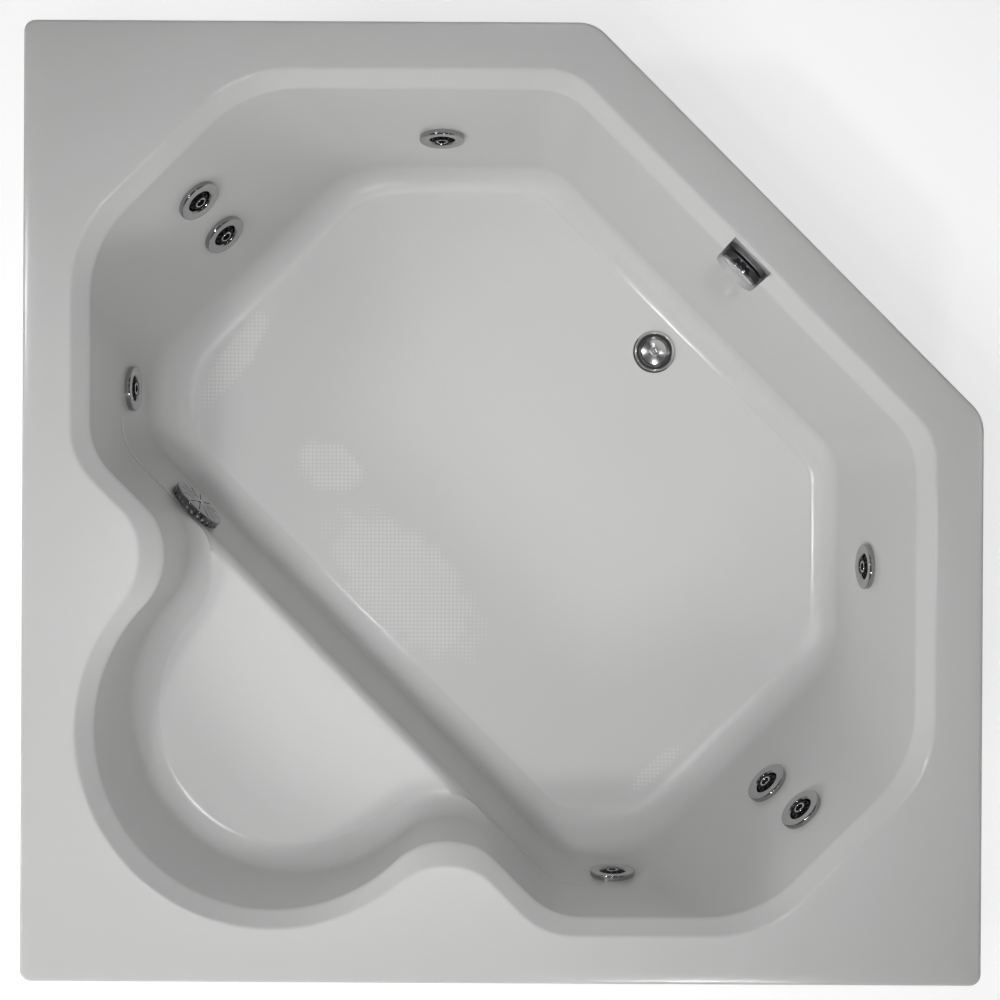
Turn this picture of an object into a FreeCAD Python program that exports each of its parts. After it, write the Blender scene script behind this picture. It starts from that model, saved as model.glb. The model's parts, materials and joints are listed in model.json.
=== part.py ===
"""Corner jetted bath: moulded shell on a timber base, with jets, suction, waste, pump and pipework.

Millimetres, +Z up, +X and +Y along the deck's straight sides. The bath is symmetric about the vertical
plane X = Y: the cut corner lies at +X +Y and the seat lies in the square corner at -X -Y. Along that
diagonal the letter p is the distance from the middle, and s is the distance across it.
"""
import FreeCAD, Part
import math
import os
import Sketcher
from FreeCAD import Placement, Rotation, Vector

doc = FreeCAD.newDocument("corner_bath")
sheet = doc.addObject("Spreadsheet::Sheet", "size")

SIZES = [
    # Deck and lip
    ("tub_side", 1524, "side of the square deck"),
    ("cut_leg", 621, "length that the cut corner takes from each side"),
    ("deck_height", 559, "floor of the room to the top of the deck"),
    ("floor_height", 129, "floor of the room to the basin floor"),
    ("deck_width", 76, "flat deck from the outer edge to the rim of the basin"),
    ("deck_corner", 18, "radius of the square corners of the deck"),
    ("cut_corner", 60, "radius of the two blunt corners of the deck"),
    ("deck_edge", 5, "rounding of the outer top edge"),
    ("lip_drop", 45, "height of the lip that turns down round the deck"),
    ("lip_wall", 8, "thickness of that lip"),
    ("shell_wall", 8, "thickness of the moulding"),
    # Basin: place of each rim line, and lean of each wall from the vertical
    ("back_end", 420, "end of a backrest's rim from the middle line of the bath"),
    ("riser_end", 68, "end of the rim line over the seat riser from the middle line of the bath"),
    ("bevel_run", 27, "level width of the sloped band under the rim"),
    ("bevel_drop", 25, "height of that band"),
    ("far_draft", 12.5, "lean of the two walls beside the cut corner, degrees"),
    ("cut_draft", 10.5, "lean of the wall at the cut corner, degrees"),
    ("near_draft", 9, "lean of the two walls beside the seat, degrees"),
    ("riser_draft", 9, "lean of the seat riser, degrees"),
    ("back_draft", 23, "lean of the two backrests, degrees"),
    ("back_corner", 200, "corner radius of the rim at both ends of a backrest"),
    ("front_corner", 115, "corner radius of the rim at the cut and at the seat"),
    ("back_floor_corner", 130, "corner radius of the floor at both ends of a backrest"),
    ("front_floor_corner", 80, "corner radius of the floor at the cut and at the seat"),
    ("floor_fillet", 55, "radius between wall and floor"),
    # Seat
    ("seat_depth", 195, "deck to seat"),
    ("seat_offset", 78, "rim line over the riser to the middle of the seat's rim arc"),
    ("seat_radius", 313, "radius of the seat's rim arc"),
    ("seat_side_draft", 7, "lean of the seat's side walls, degrees"),
    ("seat_back_draft", 20.5, "lean of the seat's back wall, degrees"),
    ("seat_fillet", 45, "radius between the seat and its wall"),
    ("nose_radius", 120, "radius of the two deck noses beside the seat"),
    ("nose_overrun", 3, "distance that each nose arc runs into the basin"),
    # Jets
    ("jet_hole", 28, "radius of the hole for a jet"),
    ("jet_neck", 27.5, "outer radius of a jet body"),
    ("jet_bore", 22, "inner radius of a jet body"),
    ("jet_length", 70, "jet body behind the inner face of the wall"),
    ("jet_flange", 36, "radius of the flange on a jet body"),
    ("flange_thick", 3, "thickness of that flange"),
    ("gasket_thick", 1.5, "thickness of a wall gasket"),
    ("ring_radius", 37.5, "outer radius of a jet ring"),
    ("ring_height", 9.5, "jet ring above the wall"),
    ("ring_opening", 20.1, "radius of the opening in a jet ring"),
    ("ring_sleeve_depth", 16, "sleeve behind the wall face"),
    ("ball_depth", 6, "centre of the ball behind the wall face"),
    ("ball_half", 11, "half the height of the ball"),
    ("nozzle_lip", 11, "radius of the nozzle lip"),
    ("nozzle_lip_height", 4, "height of that lip above the ball"),
    ("nozzle_bore", 7, "radius of the nozzle bore"),
    ("orifice", 5, "radius of the fixed orifice in the body"),
    ("web_depth", 28, "orifice web behind the wall face"),
    ("web_thick", 4, "thickness of that web"),
    ("end_wall", 6, "thickness of the closed end of a jet or suction body"),
    ("nut_thick", 14, "thickness of a wall nut"),
    ("nut_rim", 16, "nut corner beyond its hole"),
    ("run_gap", 0.3, "clearance between turning pieces"),
    ("shaft_gap", 0.1, "clearance of a shaft in its hole"),
    ("barb_reach", 47, "jet axis to the end of a water or air barb"),
    ("water_port", 48, "water barb behind the wall face"),
    ("air_port", 30, "air barb behind the wall face"),
    ("port_turn", 50, "turn of the side barbs on the backrest jets, degrees"),
    ("far_jet_depth", 245, "deck to the jets beside the cut corner"),
    ("far_jet_side", 104, "those jets from the middle line of the bath"),
    ("near_jet_depth", 255, "deck to the jets beside the seat"),
    ("near_jet_side", 187, "those jets from the middle line of the bath"),
    ("high_jet_depth", 146, "deck to the upper backrest jet"),
    ("high_jet_side", 6, "that jet from the middle of the backrest"),
    ("low_jet_depth", 270, "deck to the lower backrest jet"),
    ("low_jet_side", 16, "that jet from the middle of the backrest"),
    # Suction
    ("suction_hole", 30, "radius of the hole for the suction"),
    ("suction_neck", 29.5, "outer radius of the suction body"),
    ("suction_bore", 24, "inner radius of the suction body"),
    ("suction_flange", 40, "radius of its flange"),
    ("suction_port", 95, "suction outlet behind the wall face"),
    ("suction_drop", 58, "suction axis to the end of its outlet"),
    ("cover_radius", 48.5, "radius of the suction cover"),
    ("cover_height", 13, "height of the suction cover"),
    ("cover_wall", 3, "thickness of the suction cover"),
    ("slot_width", 5, "width of a slot in the suction cover"),
    ("screw_shank", 2.5, "radius of the cover's screw"),
    ("suction_below", 55, "suction's axis below the seat"),
    ("suction_side", 356, "suction from the diagonal"),
    # Waste and overflow
    ("drain_gap", 188.5, "drain from the back of the overflow pocket"),
    ("drain_hole", 25, "radius of the drain hole"),
    ("drain_neck", 24.5, "outer radius of the drain flange's neck"),
    ("drain_bore", 19.5, "inner radius of that neck"),
    ("drain_flange_radius", 36.5, "radius of the drain flange"),
    ("drain_flange_thick", 3, "thickness of the drain flange"),
    ("drain_seat_radius", 26, "radius of the cone that the stopper closes"),
    ("drain_neck_length", 40, "neck below the basin floor"),
    ("spider_width", 8, "width of the bars that guide the stopper stem"),
    ("spider_thick", 6, "height of those bars"),
    ("stem_radius", 4, "radius of the stopper stem"),
    ("stem_length", 46, "stopper stem below the stopper"),
    ("stopper_thick", 3.5, "thickness of the stopper disc"),
    ("stopper_knob", 7, "radius of the stopper's knob"),
    ("waste_gasket", 4, "thickness of the waste gaskets"),
    ("shoe_radius", 29, "outer radius of the drain shoe"),
    ("shoe_depth", 75, "bottom of the shoe below the basin floor"),
    ("waste_drop", 47, "waste pipe's axis below the basin floor"),
    ("waste_radius", 19.05, "outer radius of the waste pipes"),
    ("waste_bore", 17.5, "inner radius of the waste pipes"),
    ("socket_wall", 5, "wall of a waste socket"),
    ("socket_depth", 42, "tee's middle to the end of each socket"),
    ("slip_nut_thick", 16, "length of a slip nut"),
    ("slip_nut_rim", 10, "slip nut beyond its pipe"),
    ("tail_clear", 4, "end of the tailpiece above the room's floor"),
    ("tail_radius", 24.15, "outer radius of the tailpiece's end, the size of inch-and-a-half pipe"),
    ("overflow_depth", 72, "deck to the overflow"),
    ("overflow_hole", 30, "radius of the overflow hole"),
    ("overflow_back", 4, "overflow pocket's back from the rim line"),
    ("pocket_radius", 40.5, "half the width of the overflow pocket"),
    ("plate_radius", 38, "radius of the overflow plate"),
    ("plate_thick", 9, "thickness of the overflow plate"),
    ("knob_radius", 36, "radius of the overflow knob"),
    ("knob_thick", 22, "thickness of the overflow knob"),
    ("knob_shaft", 6, "radius of the overflow knob's shaft"),
    ("elbow_length", 68, "overflow elbow behind the pocket"),
    ("elbow_axis", 40, "overflow pipe's axis behind the pocket"),
    ("elbow_drop", 70, "overflow axis to the end of the elbow's socket"),
    ("insert", 20, "length of a waste pipe inside a socket"),
    ("shoe_reach", 62, "drain axis to the end of the shoe's socket"),
    ("lug_half", 6, "half the thickness of a cable lug"),
    ("cable_radius", 3.5, "radius of the drain cable's sheath"),
    ("cable_side", 36, "drain cable from the diagonal"),
    ("cable_bend", 60, "bend radius of the drain cable"),
    # Timber base
    ("board_thick", 18, "thickness of the boards under the bath"),
    ("board_side_gap", 352, "end of the base board from the rim line over a backrest"),
    ("board_back_gap", 137, "back of the base board from the rim line over the riser"),
    ("board_drain_gap", 85, "front of the base board from the drain"),
    ("runner_side", 250, "middle of each runner from the diagonal"),
    ("runner_width", 38, "width of a runner"),
    ("runner_overrun", 170, "runner behind the rim line over the riser"),
    ("stiffener_width", 50, "width of a deck stiffener"),
    ("stiffener_thick", 15, "thickness of a deck stiffener"),
    ("stiffener_gap", 6, "stiffener from the lip"),
    # Pump, along its own axis from the middle of the motor
    ("pump_height", 135, "height of the pump axis"),
    ("volute_radius", 80, "radius of the pump casing"),
    ("volute_bore", 68, "radius of the chamber in the casing"),
    ("volute_front", 185, "front of the casing from the middle"),
    ("volute_depth", 70, "length of the casing"),
    ("inlet_length", 30, "inlet neck before the casing"),
    ("hose_radius", 27, "outer radius of the suction and delivery pipes"),
    ("hose_bore", 22, "inner radius of those pipes"),
    ("outlet_drop", 15, "delivery axis below the pump axis"),
    ("outlet_reach", 85, "delivery neck from the pump axis"),
    ("seal_thick", 12, "thickness of the seal plate"),
    ("motor_radius", 72, "radius of the motor"),
    ("motor_wall", 10, "wall of the motor housing"),
    ("motor_back", 130, "back of the motor from the middle"),
    ("fan_cover_length", 58, "length of the fan cover"),
    ("fan_cover_lap", 12, "fan cover over the motor"),
    ("cover_sheet", 3, "thickness of the fan cover"),
    ("shaft_radius", 8, "radius of the motor shaft"),
    ("impeller_radius", 62, "radius of the impeller"),
    ("impeller_depth", 28, "length of the impeller"),
    ("fan_radius", 58, "radius of the cooling fan"),
    ("fan_depth", 18, "length of the cooling fan"),
    ("vane_thick", 3, "thickness of a vane"),
    ("rotor_radius", 40, "radius of the rotor on the shaft"),
    ("suction_bend", 55, "bend radius of the suction hose"),
    ("box_length", 90, "length of the terminal box"),
    ("box_width", 70, "width of the terminal box"),
    ("box_height", 40, "terminal box above the motor"),
    ("box_wall", 4, "wall of the terminal box"),
    ("gland_drop", 18, "cable gland's axis below the top of the box"),
    ("gland_radius", 11, "radius of the cable gland"),
    ("gland_bore", 5, "radius of the hole for the supply lead"),
    ("gland_length", 18, "length of the cable gland"),
    ("foot_half", 62, "half the width of the motor foot"),
    ("foot_thick", 5, "thickness of the motor foot"),
    ("foot_length", 190, "length of the motor foot"),
    ("saddle_width", 20, "length of each saddle under the motor"),
    ("pad_height", 10, "height of a rubber pad"),
    ("pad_radius", 14, "radius of a rubber pad"),
    # Pipework
    ("main_radius", 24, "outer radius of the water main"),
    ("main_bore", 20.5, "inner radius of the water main"),
    ("main_gap", 172, "water main behind the pump's axis"),
    ("main_end", 60, "end of the mains from the middle line"),
    ("water_barb", 13, "outer radius of the water hoses"),
    ("water_bore", 9.5, "inner radius of the water hoses"),
    ("air_drop", 69, "deck to the air main"),
    ("air_radius", 10, "outer radius of the air main"),
    ("air_bore", 8, "inner radius of the air main"),
    ("air_gap", 7, "air main behind the seat's rim"),
    ("air_barb", 6, "outer radius of the air hoses"),
    ("air_barb_bore", 4, "inner radius of the air hoses"),
    ("fitting_wall", 5, "wall of the pipe fittings"),
    ("fitting_reach", 45, "corner to the end of an elbow"),
    ("elbow_bend", 60, "bend radius of an elbow"),
    ("saddle_length", 34, "length of a saddle on a main"),
    ("saddle_barb", 16, "saddle's barb beyond the main"),
    ("hose_bend", 40, "bend radius of the hoses"),
    ("saddle_side", 100, "side hoses' saddles from the middle of a backrest"),
    ("intake_radius", 24, "radius of the air intake"),
    ("intake_length", 70, "length of the air intake"),
]

for row, (alias, value, meaning) in enumerate(SIZES, start=1):
    sheet.set(f"A{row}", meaning)
    sheet.set(f"B{row}", str(value))
    sheet.setAlias(f"B{row}", alias)
doc.recompute()

UP = Vector(0, 0, 1)
ROOT_TWO = math.sqrt(2)


def mm(alias):
    """Value of one cell of the sheet."""
    return float(getattr(sheet, alias))


def diagonal(s, p, z):
    """Point at s across the diagonal, p along it and height z."""
    return Vector((s + p) / ROOT_TWO, (p - s) / ROOT_TWO, z)


def mirrored(point):
    """The same point on the other side of the diagonal plane."""
    return Vector(point.y, point.x, point.z)


def outward(angle):
    """Level unit vector at an angle in degrees from +X."""
    return Vector(math.cos(math.radians(angle)), math.sin(math.radians(angle)), 0)


ACROSS = diagonal(1, 0, 0)
ALONG = diagonal(0, 1, 0)
DECK = mm("deck_height")
FLOOR = mm("floor_height")
BASIN_DEPTH = DECK - FLOOR
UNDER = FLOOR - mm("shell_wall")
BOARD_UNDER = UNDER - mm("board_thick")
HALF = mm("tub_side") / 2
SIDE_RIM = HALF - mm("deck_width")
CUT_EDGE = (mm("tub_side") - mm("cut_leg")) / ROOT_TWO
CUT_RIM = CUT_EDGE - mm("deck_width")
BACK_RIM = (SIDE_RIM + mm("back_end")) / ROOT_TWO
RISER_RIM = (SIDE_RIM - mm("riser_end")) / ROOT_TWO
SEAT_P = RISER_RIM + mm("seat_offset")


# Builders


def bind(item, **formulas):
    """Binds properties of an object to formulas of the sheet's cells."""
    for name, formula in formulas.items():
        item.setExpression(name, formula)
    return item


def rod(name, radius, height, start=Vector(), axis=UP):
    """Cylinder from a start point along an axis."""
    item = bind(doc.addObject("Part::Cylinder", name), Radius=radius, Height=height)
    item.Placement = Placement(start, Rotation(UP, axis))
    return item


def block(name, length, width, height, start=Vector(), turn=Rotation()):
    """Box from its lowest corner."""
    item = bind(doc.addObject("Part::Box", name), Length=length, Width=width, Height=height)
    item.Placement = Placement(start, turn)
    return item


def joined(name, pieces):
    """Union of several objects."""
    item = doc.addObject("Part::MultiFuse", name)
    item.Shapes = pieces
    item.Refine = False
    return item


def hollowed(name, base, tool):
    """One object with another taken away."""
    item = doc.addObject("Part::Cut", name)
    item.Base = base
    item.Tool = tool
    return item


def turned(name, outline, place=Placement()):
    """Body of revolution about its own Z axis; the outline holds formulas of radius and height."""
    body = doc.addObject("PartDesign::Body", name)
    sketch = body.newObject("Sketcher::SketchObject", name + "_outline")
    plane = [item for item in body.Origin.OriginFeatures if item.Role == "XZ_Plane"][0]
    sketch.AttachmentSupport = [(plane, "")]
    sketch.MapMode = "FlatFace"
    corners = []
    for radius, height in outline:
        corners.append(Vector(float(sheet.evalExpression(radius)), float(sheet.evalExpression(height)), 0))
    count = len(corners)
    for number in range(count):
        sketch.addGeometry(Part.LineSegment(corners[number], corners[(number + 1) % count]))
    for number in range(count):
        sketch.addConstraint(Sketcher.Constraint("Coincident", number, 2, (number + 1) % count, 1))
    for number, (radius, height) in enumerate(outline):
        hold_point(sketch, number, "DistanceX", radius, corners[number].x, -2)
        hold_point(sketch, number, "DistanceY", height, corners[number].y, -1)
    turn = body.newObject("PartDesign::Revolution", name + "_turn")
    turn.Profile = sketch
    turn.ReferenceAxis = (sketch, ["V_Axis"])
    turn.Angle = 360
    body.Placement = place
    return body


def hold_point(sketch, number, kind, formula, value, axis):
    """Ties the start of a line to the sketch's origin by a formula, or to an axis where it is nought."""
    if formula == "0":
        sketch.addConstraint(Sketcher.Constraint("PointOnObject", number, 1, axis))
        return
    index = sketch.addConstraint(Sketcher.Constraint(kind, -1, 1, number, 1, value))
    sketch.setExpression(f"Constraints[{index}]", formula)


def feature(name, shape):
    """Object that holds a shape made by Part's own functions."""
    item = doc.addObject("Part::Feature", name)
    item.Shape = shape
    return item


def group(name, shapes):
    """Separate solids in one node."""
    return feature(name, Part.makeCompound(shapes))


def placed(item, place):
    """Copy of an object's shape at another place."""
    shape = item.Shape.copy()
    shape.Placement = place.multiply(shape.Placement)
    return shape


def bent_path(points, bend):
    """Wire of straight runs joined by tangent arcs."""
    edges = []
    start = points[0]
    for before, corner, after in zip(points, points[1:], points[2:]):
        come = (corner - before).normalize()
        leave = (after - corner).normalize()
        half = come.getAngle(leave) / 2
        reach = bend * math.tan(half)
        arc_start = corner - come * reach
        arc_end = corner + leave * reach
        middle = corner + (leave - come).normalize() * (bend / math.cos(half) - bend)
        edges.append(Part.LineSegment(start, arc_start).toShape())
        edges.append(Part.Arc(arc_start, middle, arc_end).toShape())
        start = arc_end
    edges.append(Part.LineSegment(start, points[-1]).toShape())
    return Part.Wire(edges)


def pipe(points, outer, inner, bend):
    """Hollow pipe along straight runs and arcs."""
    path = bent_path(points, bend)
    heading = points[1] - points[0]
    tubes = []
    for radius in (outer, inner):
        section = Part.Wire(Part.makeCircle(radius, points[0], heading))
        tubes.append(path.makePipeShell([section], True, False))
    return tubes[0].cut(tubes[1])


def straight_pipe(start, end, outer, inner):
    """Hollow straight pipe between two points."""
    run = end - start
    tube = Part.makeCylinder(outer, run.Length, start, run)
    return tube.cut(Part.makeCylinder(inner, run.Length, start, run))


# Shell: lofts between rounded outlines at the deck, under the bevel and at the bottom


def wall_reach(rim, draft, depth, grow):
    """Distance of a wall's face from the middle, below the bevel."""
    lean = math.radians(draft)
    return rim - mm("bevel_run") - (depth - mm("bevel_drop")) * math.tan(lean) + grow / math.cos(lean)


def rim_reach(rim, grow):
    """Distance of the bevel's face from the middle, at deck level."""
    return rim + grow * math.hypot(mm("bevel_run"), mm("bevel_drop")) / mm("bevel_drop")


def rounded_wire(walls, height):
    """Closed wire of straight walls (angle, reach, radius of the corner that follows)."""
    arcs = []
    for number, (angle, reach, radius) in enumerate(walls):
        next_angle, next_reach, _ = walls[(number + 1) % len(walls)]
        first = outward(angle)
        second = outward(next_angle)
        half = math.radians((next_angle - angle) % 360) / 2
        middle = outward(angle + math.degrees(half))
        cross = first.x * second.y - first.y * second.x
        corner_x = (reach * second.y - next_reach * first.y) / cross
        corner_y = (first.x * next_reach - second.x * reach) / cross
        centre = Vector(corner_x, corner_y, height) - middle * (radius / math.cos(half))
        arcs.append((centre + first * radius, centre + middle * radius, centre + second * radius))
    edges = []
    for number, arc in enumerate(arcs):
        edges.append(Part.LineSegment(arcs[number - 1][2], arc[0]).toShape())
        edges.append(Part.Arc(*arc).toShape())
    return Part.Wire(edges)


# Corner radii at the rim and at the floor
BACK_CORNER = (mm("back_corner"), mm("back_floor_corner"))
FRONT_CORNER = (mm("front_corner"), mm("front_floor_corner"))
# Each wall: angle, rim line, lean and radii of the corner that follows
WALLS = {
    "right": (0, SIDE_RIM, mm("far_draft"), FRONT_CORNER),
    "cut": (45, CUT_RIM, mm("cut_draft"), FRONT_CORNER),
    "top": (90, SIDE_RIM, mm("far_draft"), BACK_CORNER),
    "upper_back": (135, BACK_RIM, mm("back_draft"), BACK_CORNER),
    "left": (180, SIDE_RIM, mm("near_draft"), FRONT_CORNER),
    "riser": (225, RISER_RIM, mm("riser_draft"), FRONT_CORNER),
    "bottom": (270, SIDE_RIM, mm("near_draft"), BACK_CORNER),
    "lower_back": (315, BACK_RIM, mm("back_draft"), BACK_CORNER),
}


def bottom_edges(solid, height):
    """Edges that lie at one height."""
    found = []
    for edge in solid.Edges:
        box = edge.BoundBox
        if abs(box.ZMin - height) < 0.01 and abs(box.ZMax - height) < 0.01:
            found.append(edge)
    return found


def basin_solid(grow):
    """Space of the main basin, grown by the wall for the outer face."""
    crease = mm("bevel_drop") + grow / 2
    bottom = BASIN_DEPTH + grow
    wires = []
    for depth in (0, crease, bottom):
        level = 1 if depth == bottom else 0
        walls = []
        for angle, rim, draft, corner in WALLS.values():
            reach = wall_reach(rim, draft, depth, grow) if depth else rim_reach(rim, grow)
            walls.append((angle, reach, corner[level] + grow))
        wires.append(rounded_wire(walls, DECK - depth))
    solid = Part.makeLoft(wires, True, True)
    return solid.makeFillet(mm("floor_fillet") + grow, bottom_edges(solid, DECK - bottom))


def seat_wire(depth, grow):
    """Outline of the seat's space at one depth: two deck noses, the round back and a front in the basin."""
    back_rim = SEAT_P + mm("seat_radius")
    if depth:
        radius = wall_reach(mm("seat_radius"), mm("seat_side_draft"), depth, grow)
        back = wall_reach(back_rim, mm("seat_back_draft"), depth, grow)
        line = -wall_reach(RISER_RIM, mm("riser_draft"), depth, grow)
    else:
        radius = rim_reach(mm("seat_radius"), grow)
        back = rim_reach(back_rim, grow)
        line = -rim_reach(RISER_RIM, grow)
    centre = radius - back
    nose = mm("nose_radius") - grow
    nose_p = line + mm("nose_overrun") - nose
    nose_s = math.sqrt((radius + nose) ** 2 - (nose_p - centre) ** 2)
    tangent = math.atan2(centre - nose_p, -nose_s)
    middle = (math.pi / 2 + tangent) / 2
    front = line + mm("nose_radius")
    height = DECK - depth

    def nose_point(side, angle):
        return diagonal(side * (nose_s + nose * math.cos(angle)), nose_p + nose * math.sin(angle), height)

    edges = [
        Part.LineSegment(diagonal(nose_s, front, height), nose_point(1, math.pi / 2)),
        Part.Arc(nose_point(1, math.pi / 2), nose_point(1, middle), nose_point(1, tangent)),
        Part.Arc(nose_point(1, tangent), diagonal(0, -back, height), nose_point(-1, tangent)),
        Part.Arc(nose_point(-1, tangent), nose_point(-1, middle), nose_point(-1, math.pi / 2)),
        Part.LineSegment(nose_point(-1, math.pi / 2), diagonal(-nose_s, front, height)),
        Part.LineSegment(diagonal(-nose_s, front, height), diagonal(nose_s, front, height)),
    ]
    return Part.Wire([edge.toShape() for edge in edges])


def seat_solid(grow):
    """Space over the seat, grown by the wall for the outer face."""
    crease = mm("bevel_drop") + grow / 2
    bottom = mm("seat_depth") + grow
    solid = Part.makeLoft([seat_wire(depth, grow) for depth in (0, crease, bottom)], True, True)
    line = -wall_reach(RISER_RIM, mm("riser_draft"), bottom, grow)
    rounded = []
    for edge in bottom_edges(solid, DECK - bottom):
        if edge.CenterOfMass.dot(ALONG) < line:
            rounded.append(edge)
    return solid.makeFillet(mm("seat_fillet") + grow, rounded)


POCKET_BACK = CUT_RIM - mm("overflow_back")
OVERFLOW_HEIGHT = DECK - mm("overflow_depth")


def pocket_solid(grow):
    """Upright pocket in the cut wall that holds the overflow, open at the rim."""
    half = mm("pocket_radius") + grow
    run = mm("deck_width") + grow
    start = diagonal(0, POCKET_BACK + grow, OVERFLOW_HEIGHT)
    round_part = Part.makeCylinder(half, run, start, -ALONG)
    corner = diagonal(-half, POCKET_BACK + grow - run, OVERFLOW_HEIGHT)
    square_part = Part.makeBox(2 * half, run, mm("overflow_depth"))
    square_part.Placement = Placement(corner, Rotation(ACROSS, ALONG, UP, "XZY"))
    return round_part.fuse(square_part)


def deck_solid():
    """Flat deck with its lip turned down all round."""
    outlines = []
    for inset in (0, mm("lip_wall")):
        square = mm("deck_corner") - inset
        blunt = mm("cut_corner") - inset
        outlines.append(
            [
                (0, HALF - inset, blunt),
                (45, CUT_EDGE - inset, blunt),
                (90, HALF - inset, square),
                (180, HALF - inset, square),
                (270, HALF - inset, square),
            ]
        )
    drop = mm("lip_drop")
    outer = Part.Face(rounded_wire(outlines[0], DECK - drop)).extrude(UP * drop)
    outer = outer.makeFillet(mm("deck_edge"), bottom_edges(outer, DECK))
    hollow = drop - mm("shell_wall")
    return outer.cut(Part.Face(rounded_wire(outlines[1], DECK - drop)).extrude(UP * hollow))


def wall_place(wall, side, depth):
    """Frame on a wall's inner face: X level along the wall, Y up the wall, Z into the basin."""
    angle, rim, draft, _ = WALLS[wall]
    lean = math.radians(draft)
    out = outward(angle)
    point = out * wall_reach(rim, draft, depth, 0) + outward(angle + 90) * side + UP * (DECK - depth)
    up_wall = out * math.sin(lean) + UP * math.cos(lean)
    inward = UP * math.sin(lean) - out * math.cos(lean)
    return Placement(point, Rotation(out.cross(UP), up_wall, inward, "ZYX"))


FAR = (mm("far_jet_side"), mm("far_jet_depth"))
NEAR = (mm("near_jet_side"), mm("near_jet_depth"))
HIGH = (mm("high_jet_side"), mm("high_jet_depth"))
LOW = (mm("low_jet_side"), mm("low_jet_depth"))
TURN = mm("port_turn")
# Each jet: wall, place along it, depth, turn of its water barb and turn of its air barb
JETS = [
    ("top", FAR[0], FAR[1], 0, 0),
    ("right", -FAR[0], FAR[1], 0, 0),
    ("left", -NEAR[0], NEAR[1], 0, 0),
    ("bottom", NEAR[0], NEAR[1], 0, 0),
    ("upper_back", HIGH[0], HIGH[1], TURN, 0),
    ("upper_back", LOW[0], LOW[1], 0, TURN),
    ("lower_back", -HIGH[0], HIGH[1], -TURN, 0),
    ("lower_back", -LOW[0], LOW[1], 0, -TURN),
]
JET_PLACES = [wall_place(wall, side, depth) for wall, side, depth, _, _ in JETS]
SUCTION_PLACE = wall_place("riser", -mm("suction_side"), mm("seat_depth") + mm("suction_below"))
DRAIN_P = POCKET_BACK - mm("drain_gap")
DRAIN_PLACE = Placement(diagonal(0, DRAIN_P, FLOOR), Rotation(ACROSS, -ALONG, UP, "ZXY"))
OVERFLOW_PLACE = Placement(diagonal(0, POCKET_BACK, OVERFLOW_HEIGHT), Rotation(-ACROSS, UP, -ALONG, "ZYX"))


def wall_hole(place, radius):
    """Drill through the shell at a fitting."""
    reach = 4 * mm("shell_wall")
    drill = Part.makeCylinder(radius, 2 * reach, Vector(0, 0, -reach))
    drill.Placement = place
    return drill


def tub_shell():
    """Moulding: the outer spaces joined to the deck, with the inner spaces and the holes taken away."""
    wall = mm("shell_wall")
    solid = deck_solid().fuse([basin_solid(wall), seat_solid(wall), pocket_solid(wall)])
    solid = solid.cut([basin_solid(0), seat_solid(0), pocket_solid(0)])
    drills = [wall_hole(place, mm("jet_hole")) for place in JET_PLACES]
    drills.append(wall_hole(SUCTION_PLACE, mm("suction_hole")))
    drills.append(wall_hole(DRAIN_PLACE, mm("drain_hole")))
    drills.append(wall_hole(OVERFLOW_PLACE, mm("overflow_hole")))
    return feature("tub_shell", solid.cut(drills).removeSplitter())


tub_shell()


# Timber base


def level_block(name, length, width, height, s, p, z):
    """Box along the diagonal: length across it, width along it, lowest corner at s, p, z."""
    return block(name, length, width, height, diagonal(s, p, z), Rotation(ACROSS, ALONG, UP, "XZY"))


BOARD_HALF = BACK_RIM - mm("board_side_gap")
BOARD_BACK = RISER_RIM - mm("board_back_gap")
RUNNER_BACK = RISER_RIM + mm("runner_overrun")
SIDE_CELLS = "(size.tub_side / 2 - size.deck_width)"
RISER_CELLS = f"({SIDE_CELLS} - size.riser_end) / sqrt(2)"
CUT_RIM_CELLS = "((size.tub_side - size.cut_leg) / sqrt(2) - size.deck_width)"
BOARD_FRONT_CELLS = f"({CUT_RIM_CELLS} - size.overflow_back - size.drain_gap - size.board_drain_gap)"
level_block("base_board", f"2 * (({SIDE_CELLS} + size.back_end) / sqrt(2) - size.board_side_gap)",
            f"{RISER_CELLS} - size.board_back_gap + {BOARD_FRONT_CELLS}", "size.board_thick",
            -BOARD_HALF, -BOARD_BACK, BOARD_UNDER)
RUNNER_HEIGHT = "size.floor_height - size.shell_wall - size.board_thick"
runners = []
for side in (-1, 1):
    runners.append(level_block(f"runner_{side + 2}", "size.runner_width",
                               f"{RISER_CELLS} + size.runner_overrun + {BOARD_FRONT_CELLS}", RUNNER_HEIGHT,
                               side * mm("runner_side") - mm("runner_width") / 2, -RUNNER_BACK, 0))
doc.recompute()
group("base_runners", [item.Shape for item in runners])
PUMP_BOARD_HALF = mm("runner_side") - mm("runner_width") / 2
SUCTION_PORT = SUCTION_PLACE.multVec(Vector(0, 0, -mm("suction_port")))
PUMP_P = SUCTION_PORT.dot(ALONG)
PUMP_BOARD_BACK = 2 * mm("volute_radius") - PUMP_P
level_block("pump_board", "2 * size.runner_side - size.runner_width", "3 * size.volute_radius",
            "size.board_thick", -PUMP_BOARD_HALF, -PUMP_BOARD_BACK, 0)


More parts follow.
